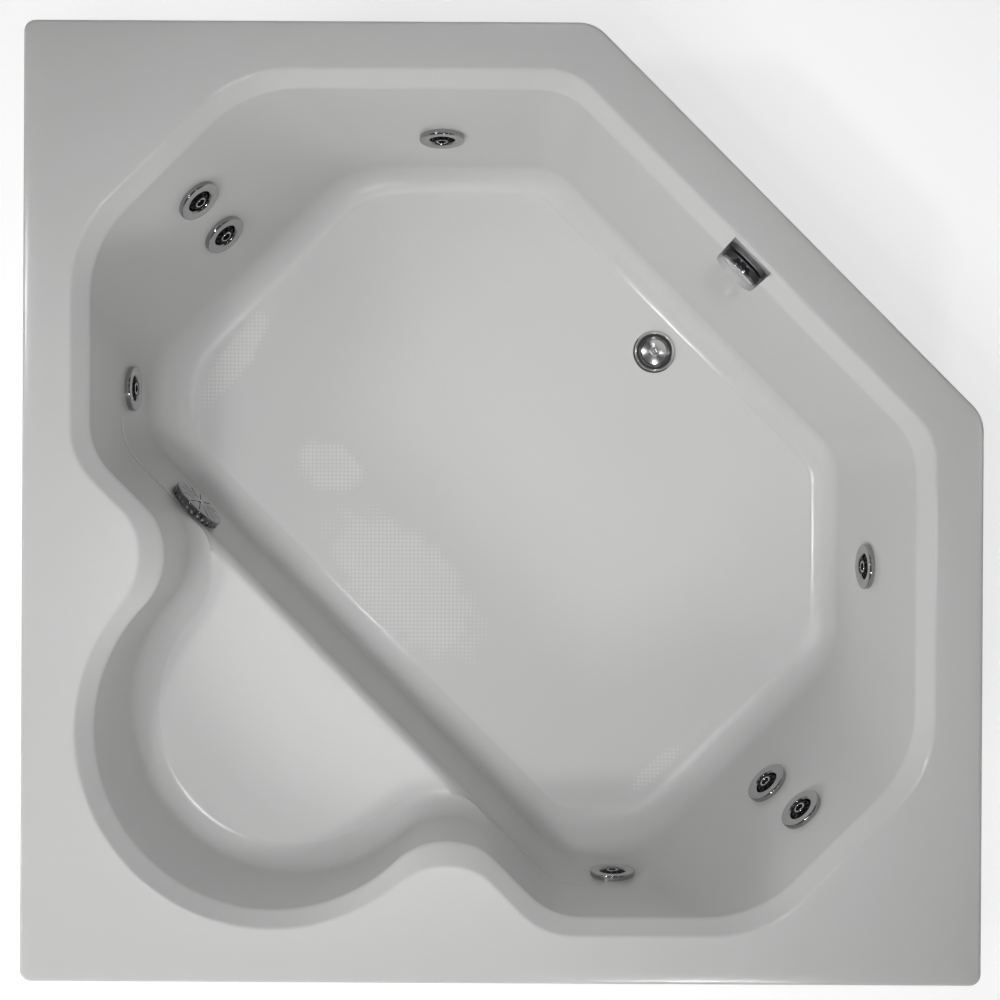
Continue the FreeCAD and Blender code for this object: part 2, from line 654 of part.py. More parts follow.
def deck_stiffeners():
    """Five boards under the deck, between the lip and the basin."""
    width = mm("stiffener_width")
    thick = mm("stiffener_thick")
    base = DECK - mm("shell_wall") - thick
    inset = mm("lip_wall") + mm("stiffener_gap") + width
    long_run = mm("tub_side") - 2 * inset
    short_run = mm("tub_side") - mm("cut_leg") - 2 * inset
    runs = [(180, 0, long_run), (270, 0, long_run), (90, mm("cut_leg") / 2, short_run)]
    runs += [(0, -mm("cut_leg") / 2, short_run), (45, 0, short_run * 3 / 4)]
    boards = []
    for angle, offset, length in runs:
        edge = CUT_EDGE if angle == 45 else HALF
        board = Part.makeBox(width, length, thick, Vector(edge - inset, offset - length / 2, base))
        board.rotate(Vector(), UP, angle)
        boards.append(board)
    return group("deck_stiffeners", boards)


deck_stiffeners()


# Jets, each in its own frame on the wall


def local_turn(angle):
    """Unit vector in a fitting's XY plane, at an angle in degrees from +Y towards -X."""
    return Vector(-math.sin(math.radians(angle)), math.cos(math.radians(angle)), 0)


def jet_body(name, water_turn, air_turn):
    """Fixed body: flange and tube with a water barb pointing down the wall and an air barb up it."""
    face = Vector(0, 0, mm("gasket_thick"))
    end = Vector(0, 0, -mm("jet_length"))
    chamber = end + UP * mm("end_wall")
    water = Vector(0, 0, -mm("water_port"))
    air = Vector(0, 0, -mm("air_port"))
    down = local_turn(180 + water_turn)
    up = local_turn(air_turn)
    outer = joined(name + "_outer", [
        rod(name + "_flange", "size.jet_flange", "size.flange_thick", face),
        rod(name + "_tube", "size.jet_neck", "size.jet_length + size.gasket_thick", end),
        rod(name + "_water", "size.water_barb", "size.barb_reach", water, down),
        rod(name + "_air", "size.air_barb", "size.barb_reach", air, up),
    ])
    inner = joined(name + "_inner", [
        rod(name + "_front", "size.jet_bore", "size.web_depth + size.gasket_thick + size.flange_thick",
            Vector(0, 0, -mm("web_depth"))),
        rod(name + "_throat", "size.orifice", "size.jet_length - size.end_wall", chamber),
        rod(name + "_chamber", "size.jet_bore",
            "size.jet_length - size.end_wall - size.web_depth - size.web_thick", chamber),
        rod(name + "_water_bore", "size.water_bore", "size.barb_reach", water, down),
        rod(name + "_air_bore", "size.air_barb_bore", "size.barb_reach", air, up),
    ])
    return hollowed(name, outer, inner)


def hex_nut(name, hole, thick):
    """Hexagonal nut against the outer face of the wall."""
    prism = doc.addObject("Part::Prism", name + "_hex")
    prism.Polygon = 6
    bind(prism, Circumradius=f"{hole} + size.nut_rim", Height=thick)
    back = Vector(0, 0, -mm("shell_wall") - mm("nut_thick"))
    prism.Placement = Placement(back, Rotation())
    return hollowed(name, prism, rod(name + "_hole", hole, thick, back))


def flat_ring(name, inner, outer, low, high, place=Placement()):
    """Plain washer between two heights."""
    return turned(name, [(inner, low), (outer, low), (outer, high), (inner, high)], place)


jet_bodies = {}
for _, _, _, water_turn, air_turn in JETS:
    key = (water_turn, air_turn)
    if key not in jet_bodies:
        jet_bodies[key] = jet_body(f"jet_body_{len(jet_bodies) + 1}", water_turn, air_turn)
jet_gasket = flat_ring("jet_gasket", "size.jet_hole", "size.jet_flange", "0", "size.gasket_thick")
jet_nut = hex_nut("jet_nut", "size.jet_hole", "size.nut_thick")
suction_gasket = flat_ring("suction_gasket", "size.suction_hole", "size.suction_flange", "0", "size.gasket_thick")
suction_nut = hex_nut("suction_nut", "size.suction_hole", "size.nut_thick")
doc.recompute()

bodies = []
gaskets = [placed(suction_gasket, SUCTION_PLACE)]
nuts = [placed(suction_nut, SUCTION_PLACE)]
for place, (_, _, _, water_turn, air_turn) in zip(JET_PLACES, JETS):
    bodies.append(placed(jet_bodies[(water_turn, air_turn)], place))
    gaskets.append(placed(jet_gasket, place))
    nuts.append(placed(jet_nut, place))
group("jet_bodies", bodies)
group("wall_gaskets", gaskets)
group("wall_nuts", nuts)

RING_SEAT = "size.gasket_thick + size.flange_thick + size.run_gap"
RING_OUTLINE = [
    ("size.ring_opening", "-size.ring_sleeve_depth"),
    ("size.jet_bore - size.shaft_gap", "-size.ring_sleeve_depth"),
    ("size.jet_bore - size.shaft_gap", RING_SEAT),
    ("size.jet_flange + size.run_gap", RING_SEAT),
    ("size.jet_flange + size.run_gap", "size.run_gap"),
    ("size.ring_radius", "size.run_gap"),
    ("size.ring_radius", "size.ring_height - 2"),
    ("size.ring_radius - 2", "size.ring_height"),
    ("size.ring_opening + 4", "size.ring_height - 1.5"),
    ("size.ring_opening", "size.ring_height - 3.5"),
]


def jet_nozzle(name, place):
    """Ball with a flat front and back, a short lip and a bore; it tilts inside the ring."""
    centre = Vector(0, 0, -mm("ball_depth"))
    low = centre - UP * mm("ball_half")
    ball = bind(doc.addObject("Part::Sphere", name + "_ball"), Radius="size.ring_opening - size.shaft_gap")
    ball.Placement = Placement(centre, Rotation())
    zone = doc.addObject("Part::MultiCommon", name + "_zone")
    zone.Shapes = [ball, rod(name + "_slice", "size.ring_opening", "2 * size.ball_half", low)]
    lip = rod(name + "_lip", "size.nozzle_lip", "size.ball_half + size.nozzle_lip_height", centre)
    solid = joined(name + "_solid", [zone, lip])
    bore = rod(name + "_bore", "size.nozzle_bore", "2 * size.ball_half + size.nozzle_lip_height", low)
    item = hollowed(name, solid, bore)
    item.Placement = place
    return item


for number, place in enumerate(JET_PLACES, start=1):
    turned(f"jet_ring_{number}", RING_OUTLINE, place)
    jet_nozzle(f"jet_nozzle_{number}", place)


# Suction


def suction_body(name):
    """Tube through the wall into an upright pot, with a bar for the cover's screw and a socket below."""
    lean = math.radians(mm("riser_draft"))
    down = Vector(0, -math.cos(lean), -math.sin(lean))
    port = Vector(0, 0, -mm("suction_port"))
    face = Vector(0, 0, mm("gasket_thick"))
    top = port - down * (mm("suction_neck") + mm("fitting_wall"))
    room = port - down * mm("suction_neck")
    mouth = port + down * (mm("suction_drop") - mm("insert"))
    outer = joined(name + "_outer", [
        rod(name + "_flange", "size.suction_flange", "size.flange_thick", face),
        rod(name + "_tube", "size.suction_neck", "size.suction_port + size.gasket_thick", port),
        rod(name + "_pot", "size.hose_radius + size.fitting_wall",
            "size.suction_drop + size.suction_neck + size.fitting_wall", top, down),
    ])
    inner = joined(name + "_inner", [
        rod(name + "_bore", "size.suction_bore", "size.suction_port + size.gasket_thick + size.flange_thick", port),
        rod(name + "_room", "size.hose_radius - 1", "size.suction_drop + size.suction_neck", room, down),
        rod(name + "_socket", "size.hose_radius + size.shaft_gap", "size.insert", mouth, down),
    ])
    tube = hollowed(name + "_hollow", outer, inner)
    bar = block(name + "_bar", "2 * size.suction_neck - 2", "size.spider_width", "size.spider_thick",
                Vector(1 - mm("suction_neck"), -mm("spider_width") / 2, -mm("spider_thick")))
    screw_hole = rod(name + "_screw", "size.screw_shank + size.shaft_gap", "size.spider_thick",
                     Vector(0, 0, -mm("spider_thick")))
    item = hollowed(name, joined(name + "_barred", [tube, bar]), screw_hole)
    item.Placement = SUCTION_PLACE
    return item


def suction_cover(name):
    """Domed cover with radial slots, held at its middle boss by one screw."""
    dome = turned(name + "_dome", [
        ("size.screw_shank + size.shaft_gap", "0"),
        ("size.spider_width", "0"),
        ("size.spider_width", "size.cover_height"),
        ("size.cover_radius * 0.6", "size.cover_height - 1.5"),
        ("size.cover_radius - 7", "size.cover_height - 6"),
        ("size.cover_radius - size.cover_wall", "size.run_gap"),
        ("size.cover_radius", "size.run_gap"),
        ("size.cover_radius", "size.cover_height - 7"),
        ("size.cover_radius - 5", "size.cover_height - 2"),
        ("size.cover_radius * 0.6", "size.cover_height + size.cover_wall - 1"),
        ("size.spider_width", "size.cover_height + size.cover_wall"),
        ("size.screw_shank + size.shaft_gap", "size.cover_height + size.cover_wall"),
    ])
    slots = []
    for number in range(12):
        turn = Rotation(UP, number * 30)
        start = turn.multVec(Vector(mm("cover_radius") * 0.3, -mm("slot_width") / 2, mm("run_gap") * 10))
        slots.append(block(f"{name}_slot_{number + 1}", "size.cover_radius * 0.56", "size.slot_width",
                           "size.cover_height + size.cover_wall", start, turn))
    item = hollowed(name, dome, joined(name + "_slots", slots))
    item.Placement = SUCTION_PLACE
    return item


suction_body("suction_body")
suction_cover("suction_cover")
turned("suction_screw", [
    ("0", "-size.spider_thick"),
    ("size.screw_shank", "-size.spider_thick"),
    ("size.screw_shank", "size.cover_height + size.cover_wall"),
    ("2 * size.screw_shank", "size.cover_height + size.cover_wall"),
    ("1.4 * size.screw_shank", "size.cover_height + size.cover_wall + 2"),
    ("0", "size.cover_height + size.cover_wall + 2"),
], SUCTION_PLACE)


# Drain


def drain_flange(name):
    """Flange in the basin floor with a conical seat, a threaded neck and a guide for the stem."""
    neck = turned(name + "_neck", [
        ("size.drain_bore", "-size.drain_neck_length"),
        ("size.drain_neck", "-size.drain_neck_length"),
        ("size.drain_neck", "0"),
        ("size.drain_flange_radius", "0"),
        ("size.drain_flange_radius", "size.drain_flange_thick - 1"),
        ("size.drain_flange_radius - 2", "size.drain_flange_thick"),
        ("size.drain_seat_radius", "size.drain_flange_thick"),
        ("size.drain_bore", "-2 * size.drain_flange_thick"),
    ])
    low = -mm("drain_neck_length") + mm("spider_thick")
    reach = mm("drain_bore") + 1
    half = mm("spider_width") / 2
    bars = [
        block(name + "_bar_1", "2 * size.drain_bore + 2", "size.spider_width", "size.spider_thick",
              Vector(-reach, -half, low)),
        block(name + "_bar_2", "size.spider_width", "2 * size.drain_bore + 2", "size.spider_thick",
              Vector(-half, -reach, low)),
        rod(name + "_hub", "size.spider_width", "size.spider_thick", Vector(0, 0, low)),
    ]
    guide = rod(name + "_guide", "size.stem_radius + size.shaft_gap", "size.spider_thick", Vector(0, 0, low))
    item = hollowed(name, joined(name + "_solid", [neck] + bars), guide)
    item.Placement = DRAIN_PLACE
    return item


drain_flange("drain_flange")
STOPPER_LOW = "-2"
STOPPER_RADIUS = "size.drain_bore + 2.5"
turned("drain_stopper", [
    ("0", "-size.stem_length"),
    ("size.stem_radius", "-size.stem_length"),
    ("size.stem_radius", STOPPER_LOW),
    (STOPPER_RADIUS, STOPPER_LOW),
    (STOPPER_RADIUS, "size.stopper_thick - 2"),
    ("size.stopper_knob - 2", "size.stopper_thick - 2"),
    ("size.stopper_knob - 2", "size.stopper_thick"),
    ("size.stopper_knob", "size.stopper_thick + 1.5"),
    ("size.stopper_knob - 1", "size.stopper_thick + 4.5"),
    ("0", "size.stopper_thick + 4.5"),
], DRAIN_PLACE)
flat_ring("stopper_seal", "size.drain_bore - 3", "size.drain_bore + 1.1", "-4", STOPPER_LOW, DRAIN_PLACE)


# Waste: shoe under the drain, pipe to a tee, overflow pipe above it and tailpiece below it


def socket(name, start, axis, length):
    """Outer tube of a socket, from a point on the pipe's axis."""
    return rod(name, "size.waste_radius + size.socket_wall", length, start, axis)


def socket_bore(name, start, axis, length, reach):
    """Water way of a socket, wider where the pipe is pushed in."""
    mouth = start + axis * (reach - mm("insert"))
    return [
        rod(name + "_way", "size.waste_bore", length, start, axis),
        rod(name + "_mouth", "size.waste_radius + size.shaft_gap", "size.insert", mouth, axis),
    ]


WASTE_HEIGHT = FLOOR - mm("waste_drop")
ELBOW_P = POCKET_BACK + mm("elbow_axis")
SHOE_AXIS = diagonal(0, DRAIN_P, WASTE_HEIGHT)
TEE = diagonal(0, ELBOW_P, WASTE_HEIGHT)
ELBOW = diagonal(0, ELBOW_P, OVERFLOW_HEIGHT)
SHOE_END = DRAIN_P + mm("shoe_reach")
TEE_END = ELBOW_P - mm("socket_depth")
ELBOW_END = OVERFLOW_HEIGHT - mm("elbow_drop")
DOWN = -UP

drain_gasket = flat_ring("drain_gasket", "size.drain_hole", "size.shoe_radius + 7",
                         "-size.shell_wall - size.waste_gasket", "-size.shell_wall")
overflow_gasket = flat_ring("overflow_gasket", "size.overflow_hole", "size.plate_radius",
                            "-size.shell_wall - size.waste_gasket", "-size.shell_wall")
doc.recompute()
group("waste_gaskets", [placed(drain_gasket, DRAIN_PLACE), placed(overflow_gasket, OVERFLOW_PLACE)])


def drain_shoe(name):
    """Cup that screws to the drain's neck, with a socket for the waste pipe and a lug for the cable."""
    top = diagonal(0, DRAIN_P, UNDER - mm("waste_gasket"))
    low = diagonal(0, DRAIN_P, FLOOR - mm("shoe_depth"))
    depth = "size.shoe_depth - size.shell_wall - size.waste_gasket"
    lug_start = DRAIN_P + mm("shoe_radius") - 3 * mm("lug_half")
    outer = joined(name + "_outer", [
        rod(name + "_flange", "size.shoe_radius + 7", "size.socket_wall", top, DOWN),
        rod(name + "_cup", "size.shoe_radius", depth, top, DOWN),
        socket(name + "_socket", SHOE_AXIS, ALONG, "size.shoe_reach"),
        level_block(name + "_lug", "size.cable_side - size.lug_half", "4 * size.lug_half", "2 * size.lug_half",
                    2 * mm("lug_half"), lug_start, WASTE_HEIGHT - mm("lug_half")),
    ])
    bottom = low + UP * mm("socket_wall")
    inner = [rod(name + "_well", "size.drain_neck + size.run_gap", depth + " - size.socket_wall", bottom)]
    inner += socket_bore(name, SHOE_AXIS, ALONG, "size.shoe_reach", mm("shoe_reach"))
    return hollowed(name, outer, joined(name + "_inner", inner))


def waste_tee(name):
    """Tee that joins the drain pipe and the overflow pipe to the tailpiece."""
    ways = [("_top", UP), ("_side", -ALONG), ("_low", DOWN)]
    outer = [socket(name + way, TEE, axis, "size.socket_depth") for way, axis in ways]
    inner = []
    for way, axis in ways:
        inner += socket_bore(name + way, TEE, axis, "size.socket_depth", mm("socket_depth"))
    return hollowed(name, joined(name + "_outer", outer), joined(name + "_inner", inner))


def overflow_elbow(name):
    """Elbow behind the overflow pocket, with a socket for the pipe below and a lug for the cable."""
    face = diagonal(0, POCKET_BACK + mm("shell_wall") + mm("waste_gasket"), OVERFLOW_HEIGHT)
    length = "size.elbow_length - size.shell_wall - size.waste_gasket"
    lug_low = OVERFLOW_HEIGHT - mm("overflow_hole") + mm("lug_half")
    outer = joined(name + "_outer", [
        rod(name + "_flange", "size.plate_radius", "size.socket_wall", face, ALONG),
        rod(name + "_body", "size.overflow_hole", length, face, ALONG),
        socket(name + "_socket", ELBOW, DOWN, "size.elbow_drop"),
        level_block(name + "_lug", "size.cable_side - size.lug_half", "2 * size.lug_half", "2 * size.lug_half",
                    2 * mm("lug_half"), ELBOW_P - mm("lug_half"), lug_low),
    ])
    inner = [rod(name + "_well", "size.overflow_hole - size.socket_wall", length + " - size.socket_wall",
                 face, ALONG)]
    inner += socket_bore(name, ELBOW, DOWN, "size.elbow_drop", mm("elbow_drop"))
    return hollowed(name, outer, joined(name + "_inner", inner))


def waste_pipe(name, start, end):
    """Plain pipe between two sockets."""
    return feature(name, straight_pipe(start, end, mm("waste_radius"), mm("waste_bore")))


drain_shoe("drain_shoe")
waste_tee("waste_tee")
overflow_elbow("overflow_elbow")
waste_pipe("waste_tube", diagonal(0, SHOE_END - mm("insert"), WASTE_HEIGHT),
           diagonal(0, TEE_END + mm("insert"), WASTE_HEIGHT))
waste_pipe("overflow_tube", TEE + UP * (mm("socket_depth") - mm("insert")),
           diagonal(0, ELBOW_P, ELBOW_END + mm("insert")))
TAIL_HEIGHT = "size.floor_height - size.waste_drop - size.socket_depth"
TAIL_STEP = TAIL_HEIGHT + " - size.slip_nut_thick"
TAIL_TOP = TAIL_HEIGHT + " + size.insert"
turned("tailpiece", [
    ("size.waste_bore", "size.tail_clear"),
    ("size.tail_radius", "size.tail_clear"),
    ("size.tail_radius", TAIL_STEP),
    ("size.waste_radius - size.shaft_gap", TAIL_STEP),
    ("size.waste_radius - size.shaft_gap", TAIL_TOP),
    ("size.waste_bore", TAIL_TOP),
], Placement(diagonal(0, ELBOW_P, 0), Rotation()))

slip_nuts = []
for start, axis in [
    (diagonal(0, SHOE_END, WASTE_HEIGHT), ALONG),
    (diagonal(0, TEE_END, WASTE_HEIGHT), -ALONG),
    (TEE + UP * mm("socket_depth"), UP),
    (TEE + DOWN * mm("socket_depth"), DOWN),
    (diagonal(0, ELBOW_P, ELBOW_END), DOWN),
]:
    slip_nuts.append(straight_pipe(start, start + axis * mm("slip_nut_thick"),
                                   mm("waste_radius") + mm("slip_nut_rim"), mm("waste_radius") + mm("shaft_gap")))
group("slip_nuts", slip_nuts)

CABLE_TOP = OVERFLOW_HEIGHT - mm("overflow_hole") + mm("lug_half")
CABLE_END = DRAIN_P + mm("shoe_radius") + mm("lug_half")
feature("drain_cable", pipe([
    diagonal(mm("cable_side"), ELBOW_P, CABLE_TOP),
    diagonal(mm("cable_side"), ELBOW_P, WASTE_HEIGHT),
    diagonal(mm("cable_side"), CABLE_END, WASTE_HEIGHT),
], mm("cable_radius"), mm("cable_radius") / 2, mm("cable_bend")))


def overflow_plate(name):
    """Plate that covers the overflow hole, with water ways behind the knob."""
    disc = turned(name + "_disc", [
        ("size.knob_shaft + size.shaft_gap", "0"),
        ("size.plate_radius", "0"),
        ("size.plate_radius", "size.plate_thick - 2"),
        ("size.plate_radius - 2", "size.plate_thick"),
        ("size.knob_shaft + size.shaft_gap", "size.plate_thick"),
    ])
    ways = []
    for number in range(6):
        start = local_turn(60 * number) * (mm("plate_radius") * 0.55)
        ways.append(rod(f"{name}_way_{number + 1}", "size.knob_shaft", "size.plate_thick", start))
    item = hollowed(name, disc, joined(name + "_ways", ways))
    item.Placement = OVERFLOW_PLACE
    return item


overflow_plate("overflow_plate")
KNOB_LOW = "size.plate_thick + 2"
KNOB_HIGH = "size.plate_thick + size.knob_thick"
turned("overflow_knob", [
    ("0", "-size.elbow_axis / 2"),
    ("size.knob_shaft", "-size.elbow_axis / 2"),
    ("size.knob_shaft", KNOB_HIGH + " - 6"),
    ("size.knob_radius - 5", KNOB_HIGH + " - 6"),
    ("size.knob_radius - 4", KNOB_LOW),
    ("size.knob_radius", KNOB_LOW),
    ("size.knob_radius", KNOB_HIGH + " - 4"),
    ("size.knob_radius - 4", KNOB_HIGH),
    ("0", KNOB_HIGH),
], OVERFLOW_PLACE)


# Pump: X along the diagonal, Y up, Z along the motor

PUMP_PLACE = Placement(diagonal(0, PUMP_P, mm("pump_height")), Rotation(ALONG, UP, ACROSS, "XYZ"))
MOTOR_FRONT = "(size.volute_depth + size.seal_thick - size.volute_front)"
VOLUTE_BACK = "(size.volute_depth - size.volute_front)"
FRONT = -mm("volute_front")
DELIVERY = Vector(0, -mm("outlet_drop"), FRONT + mm("volute_depth") / 2)
TOWARDS_MAIN = Vector(-1, 0, 0)


def pump_volute(name):
    """Casing with an inlet socket along the axis and a delivery socket to one side."""
    front = Vector(0, 0, FRONT)
    mouth = front - UP * mm("inlet_length")
    delivery_mouth = DELIVERY + TOWARDS_MAIN * (mm("outlet_reach") - mm("insert"))
    wall = mm("end_wall")
    outer = joined(name + "_outer", [
        rod(name + "_case", "size.volute_radius", "size.volute_depth", front),
        rod(name + "_inlet", "size.hose_radius + size.fitting_wall", "size.inlet_length", mouth),
        rod(name + "_outlet", "size.hose_radius + size.fitting_wall", "size.outlet_reach", DELIVERY, TOWARDS_MAIN),
    ])
    inner = joined(name + "_inner", [
        rod(name + "_chamber", "size.volute_bore", "size.volute_depth - size.end_wall", front + UP * wall),
        rod(name + "_way", "size.hose_bore", "size.inlet_length + 2 * size.end_wall", mouth),
        rod(name + "_mouth", "size.hose_radius + size.shaft_gap", "size.insert", mouth),
        rod(name + "_delivery", "size.hose_bore", "size.outlet_reach", DELIVERY, TOWARDS_MAIN),
        rod(name + "_delivery_mouth", "size.hose_radius + size.shaft_gap", "size.insert", delivery_mouth,
            TOWARDS_MAIN),
    ])
    item = hollowed(name, outer, inner)
    item.Placement = PUMP_PLACE
    return item


def vaned_wheel(name, radius, depth, low, blade, count, plate):
    """Hub on the shaft with straight vanes, and a back plate where one is wanted."""
    start = Vector(0, 0, low)
    pieces = [rod(name + "_hub", "2 * size.shaft_radius", depth, start)]
    if plate:
        pieces.append(rod(name + "_plate", radius, "size.end_wall", start))
    for number in range(count):
        turn = Rotation(UP, number * 360 / count)
        corner = turn.multVec(Vector(mm("shaft_radius") * 1.5, -mm(blade) / 2, low))
        pieces.append(block(f"{name}_vane_{number + 1}", f"{radius} - 1.6 * size.shaft_radius", "size." + blade,
                            depth, corner, turn))
    item = hollowed(name, joined(name + "_solid", pieces), rod(name + "_hole", "size.shaft_radius", depth, start))
    item.Placement = PUMP_PLACE
    return item


def fan_cover(name):
    """Sheet cap over the fan, with vent holes in its end."""
    end = "size.motor_back - size.fan_cover_lap + size.fan_cover_length"
    cap = turned(name + "_cap", [
        ("size.motor_radius + size.shaft_gap", "size.motor_back - size.fan_cover_lap"),
        ("size.motor_radius + size.cover_sheet", "size.motor_back - size.fan_cover_lap"),
        ("size.motor_radius + size.cover_sheet", end),
        ("0", end),
        ("0", end + " - size.cover_sheet"),
        ("size.motor_radius", end + " - size.cover_sheet"),
        ("size.motor_radius", "size.motor_back + size.cover_sheet"),
        ("size.motor_radius - 2 * size.cover_sheet", "size.motor_back + size.cover_sheet"),
        ("size.motor_radius - 2 * size.cover_sheet", "size.motor_back"),
        ("size.motor_radius + size.shaft_gap", "size.motor_back"),
    ])
    low = mm("motor_back") + mm("fan_cover_length") - mm("fan_cover_lap") - mm("cover_sheet")
    vents = []
    for number in range(12):
        spread = 0.72 if number % 2 else 0.42
        start = local_turn(30 * number) * (mm("motor_radius") * spread) + UP * low
        vents.append(rod(f"{name}_vent_{number + 1}", "size.shaft_radius", "size.cover_sheet", start))
    item = hollowed(name, cap, joined(name + "_vents", vents))
    item.Placement = PUMP_PLACE
    return item


def terminal_box(name):
    """Box on top of the motor, shaped to it, with a hole for the gland."""
    wall = mm("box_wall")
    half = mm("box_width") / 2
    low = -mm("box_length") / 2
    top = mm("motor_radius") + mm("box_height")
    outer = block(name + "_outer", "size.box_width", "size.motor_radius / 2 + size.box_height", "size.box_length",
                  Vector(-half, mm("motor_radius") / 2, low))
    inner = joined(name + "_inner", [
        rod(name + "_seat", "size.motor_radius", "size.box_length", Vector(0, 0, low)),
        block(name + "_room", "size.box_width - 2 * size.box_wall", "size.box_height - 2 * size.box_wall",
              "size.box_length - 2 * size.box_wall", Vector(wall - half, mm("motor_radius") + wall, low + wall)),
        rod(name + "_lead", "size.gland_bore + 1", "size.box_length / 2", Vector(0, top - mm("gland_drop"), 0)),
    ])
    item = hollowed(name, outer, inner)
    item.Placement = PUMP_PLACE
    return item


def motor_foot(name):
    """Plate on the pads with two saddles under the motor."""
    plate_low = mm("board_thick") + mm("pad_height") - mm("pump_height")
    half = mm("foot_half")
    low = -mm("foot_length") / 2
    pieces = [block(name + "_plate", "2 * size.foot_half", "size.foot_thick", "size.foot_length",
                    Vector(-half, plate_low, low))]
    for number, start in enumerate((low, -low - mm("saddle_width")), start=1):
        pieces.append(block(f"{name}_saddle_{number}", "1.5 * size.foot_half",
                            "size.pump_height - size.board_thick - size.pad_height - size.motor_radius / 2",
                            "size.saddle_width", Vector(-0.75 * half, plate_low, start)))
    motor = rod(name + "_motor", "size.motor_radius", "size.foot_length", Vector(0, 0, low))
    item = hollowed(name, joined(name + "_solid", pieces), motor)
    item.Placement = PUMP_PLACE
    return item


pump_volute("pump_volute")
flat_ring("seal_plate", "size.shaft_radius + size.shaft_gap", "size.volute_radius", VOLUTE_BACK, MOTOR_FRONT,
          PUMP_PLACE)
turned("motor_housing", [
    ("size.motor_radius - size.motor_wall", MOTOR_FRONT),
    ("size.motor_radius", MOTOR_FRONT),
    ("size.motor_radius", "size.motor_back"),
    ("size.shaft_radius + size.shaft_gap", "size.motor_back"),
    ("size.shaft_radius + size.shaft_gap", "size.motor_back - size.motor_wall"),
    ("size.motor_radius - size.motor_wall", "size.motor_back - size.motor_wall"),
], PUMP_PLACE)
SHAFT_FRONT = "size.end_wall * 2 - size.volute_front"
SHAFT_BACK = "size.motor_back + size.fan_cover_length / 2"
turned("pump_shaft", [
    ("0", SHAFT_FRONT),
    ("size.shaft_radius", SHAFT_FRONT),
    ("size.shaft_radius", "-size.foot_length / 3"),
    ("size.rotor_radius", "-size.foot_length / 3"),
    ("size.rotor_radius", "size.foot_length / 3"),
    ("size.shaft_radius", "size.foot_length / 3"),
    ("size.shaft_radius", SHAFT_BACK),
    ("0", SHAFT_BACK),
], PUMP_PLACE)
vaned_wheel("pump_impeller", "size.impeller_radius", "size.impeller_depth", FRONT + 2 * mm("end_wall"), "vane_thick",
            6, True)
vaned_wheel("motor_fan", "size.fan_radius", "size.fan_depth", mm("motor_back") + mm("motor_wall"), "vane_thick",
            7, False)
fan_cover("fan_cover")
terminal_box("terminal_box")
GLAND_START = Vector(0, mm("motor_radius") + mm("box_height") - mm("gland_drop"), mm("box_length") / 2)
gland = hollowed("cable_gland", rod("gland_body", "size.gland_radius", "size.gland_length", GLAND_START),
                 rod("gland_hole", "size.gland_bore", "size.gland_length", GLAND_START))
gland.Placement = PUMP_PLACE
motor_foot("motor_foot")
pads = []
for across in (-1, 1):
    for along in (-1, 1):
        middle = diagonal(across * (mm("foot_length") / 2 - mm("pad_radius")),
                          PUMP_P + along * (mm("foot_half") - mm("pad_radius")), mm("board_thick"))
        pads.append(Part.makeCylinder(mm("pad_radius"), mm("pad_height"), middle))
group("pump_pads", pads)

SUCTION_END = SUCTION_PORT + DOWN * (mm("suction_drop") - mm("insert"))
PUMP_MOUTH = PUMP_PLACE.multVec(Vector(0, 0, FRONT - mm("inlet_length") + mm("insert")))
HOSE_CORNER = Vector(SUCTION_END.x, SUCTION_END.y, mm("pump_height"))
feature("suction_hose", pipe([SUCTION_END, HOSE_CORNER, PUMP_MOUTH], mm("hose_radius"), mm("hose_bore"),
                             mm("suction_bend")))


# Pipework: a water main and an air main round the bath, each with elbows, saddles and hoses

MAIN_HEIGHT = mm("pump_height") - mm("outlet_drop")
MAIN_BACK = mm("main_gap") - PUMP_P
AIR_HEIGHT = DECK - mm("air_drop")
AIR_BACK = SEAT_P + mm("seat_radius") + mm("air_gap")


def barb_end(number, port, turn):
    """End of a jet's barb and its direction."""
    place = JET_PLACES[number]
    way = local_turn(turn)
    return place.multVec(way * mm("barb_reach") - UP * mm(port)), place.Rotation.multVec(way)


def meet(start, way, height):
    """Point where a line reaches a height."""
    return start + way * ((height - start.z) / way.z)


def main_path(port, turn, height, back, low_number):
    """Corners of a main: along the far wall, a backrest, a near wall and across behind the seat, mirrored."""
    far = meet(*barb_end(0, port, turn), height).y
    rest = meet(*barb_end(low_number, port, turn), height)
    rest = (rest.y - rest.x) / ROOT_TWO
    near = meet(*barb_end(2, port, turn), height).x
    half = [
        Vector(-mm("main_end"), far, height),
        Vector(far - rest * ROOT_TWO, far, height),
        Vector(near, near + rest * ROOT_TWO, height),
        Vector(near, -back * ROOT_TWO - near, height),
    ]
    return half + [mirrored(point) for point in reversed(half)]


def saddle(middle, run, way, main, barb, bore):
    """Sleeve round a main with a barb for one hose; returns the sleeve and the drill for the main."""
    half = run * (mm("saddle_length") / 2)
    outer = main + mm("fitting_wall")
    reach = outer + mm("saddle_barb")
    body = Part.makeCylinder(outer, mm("saddle_length"), middle - half, run)
    body = body.fuse(Part.makeCylinder(barb, reach, middle, way))
    drill = Part.makeCylinder(bore, reach, middle, way)
    sleeve = Part.makeCylinder(main + mm("shaft_gap"), mm("saddle_length"), middle - half, run)
    return body.cut([sleeve, drill]), drill


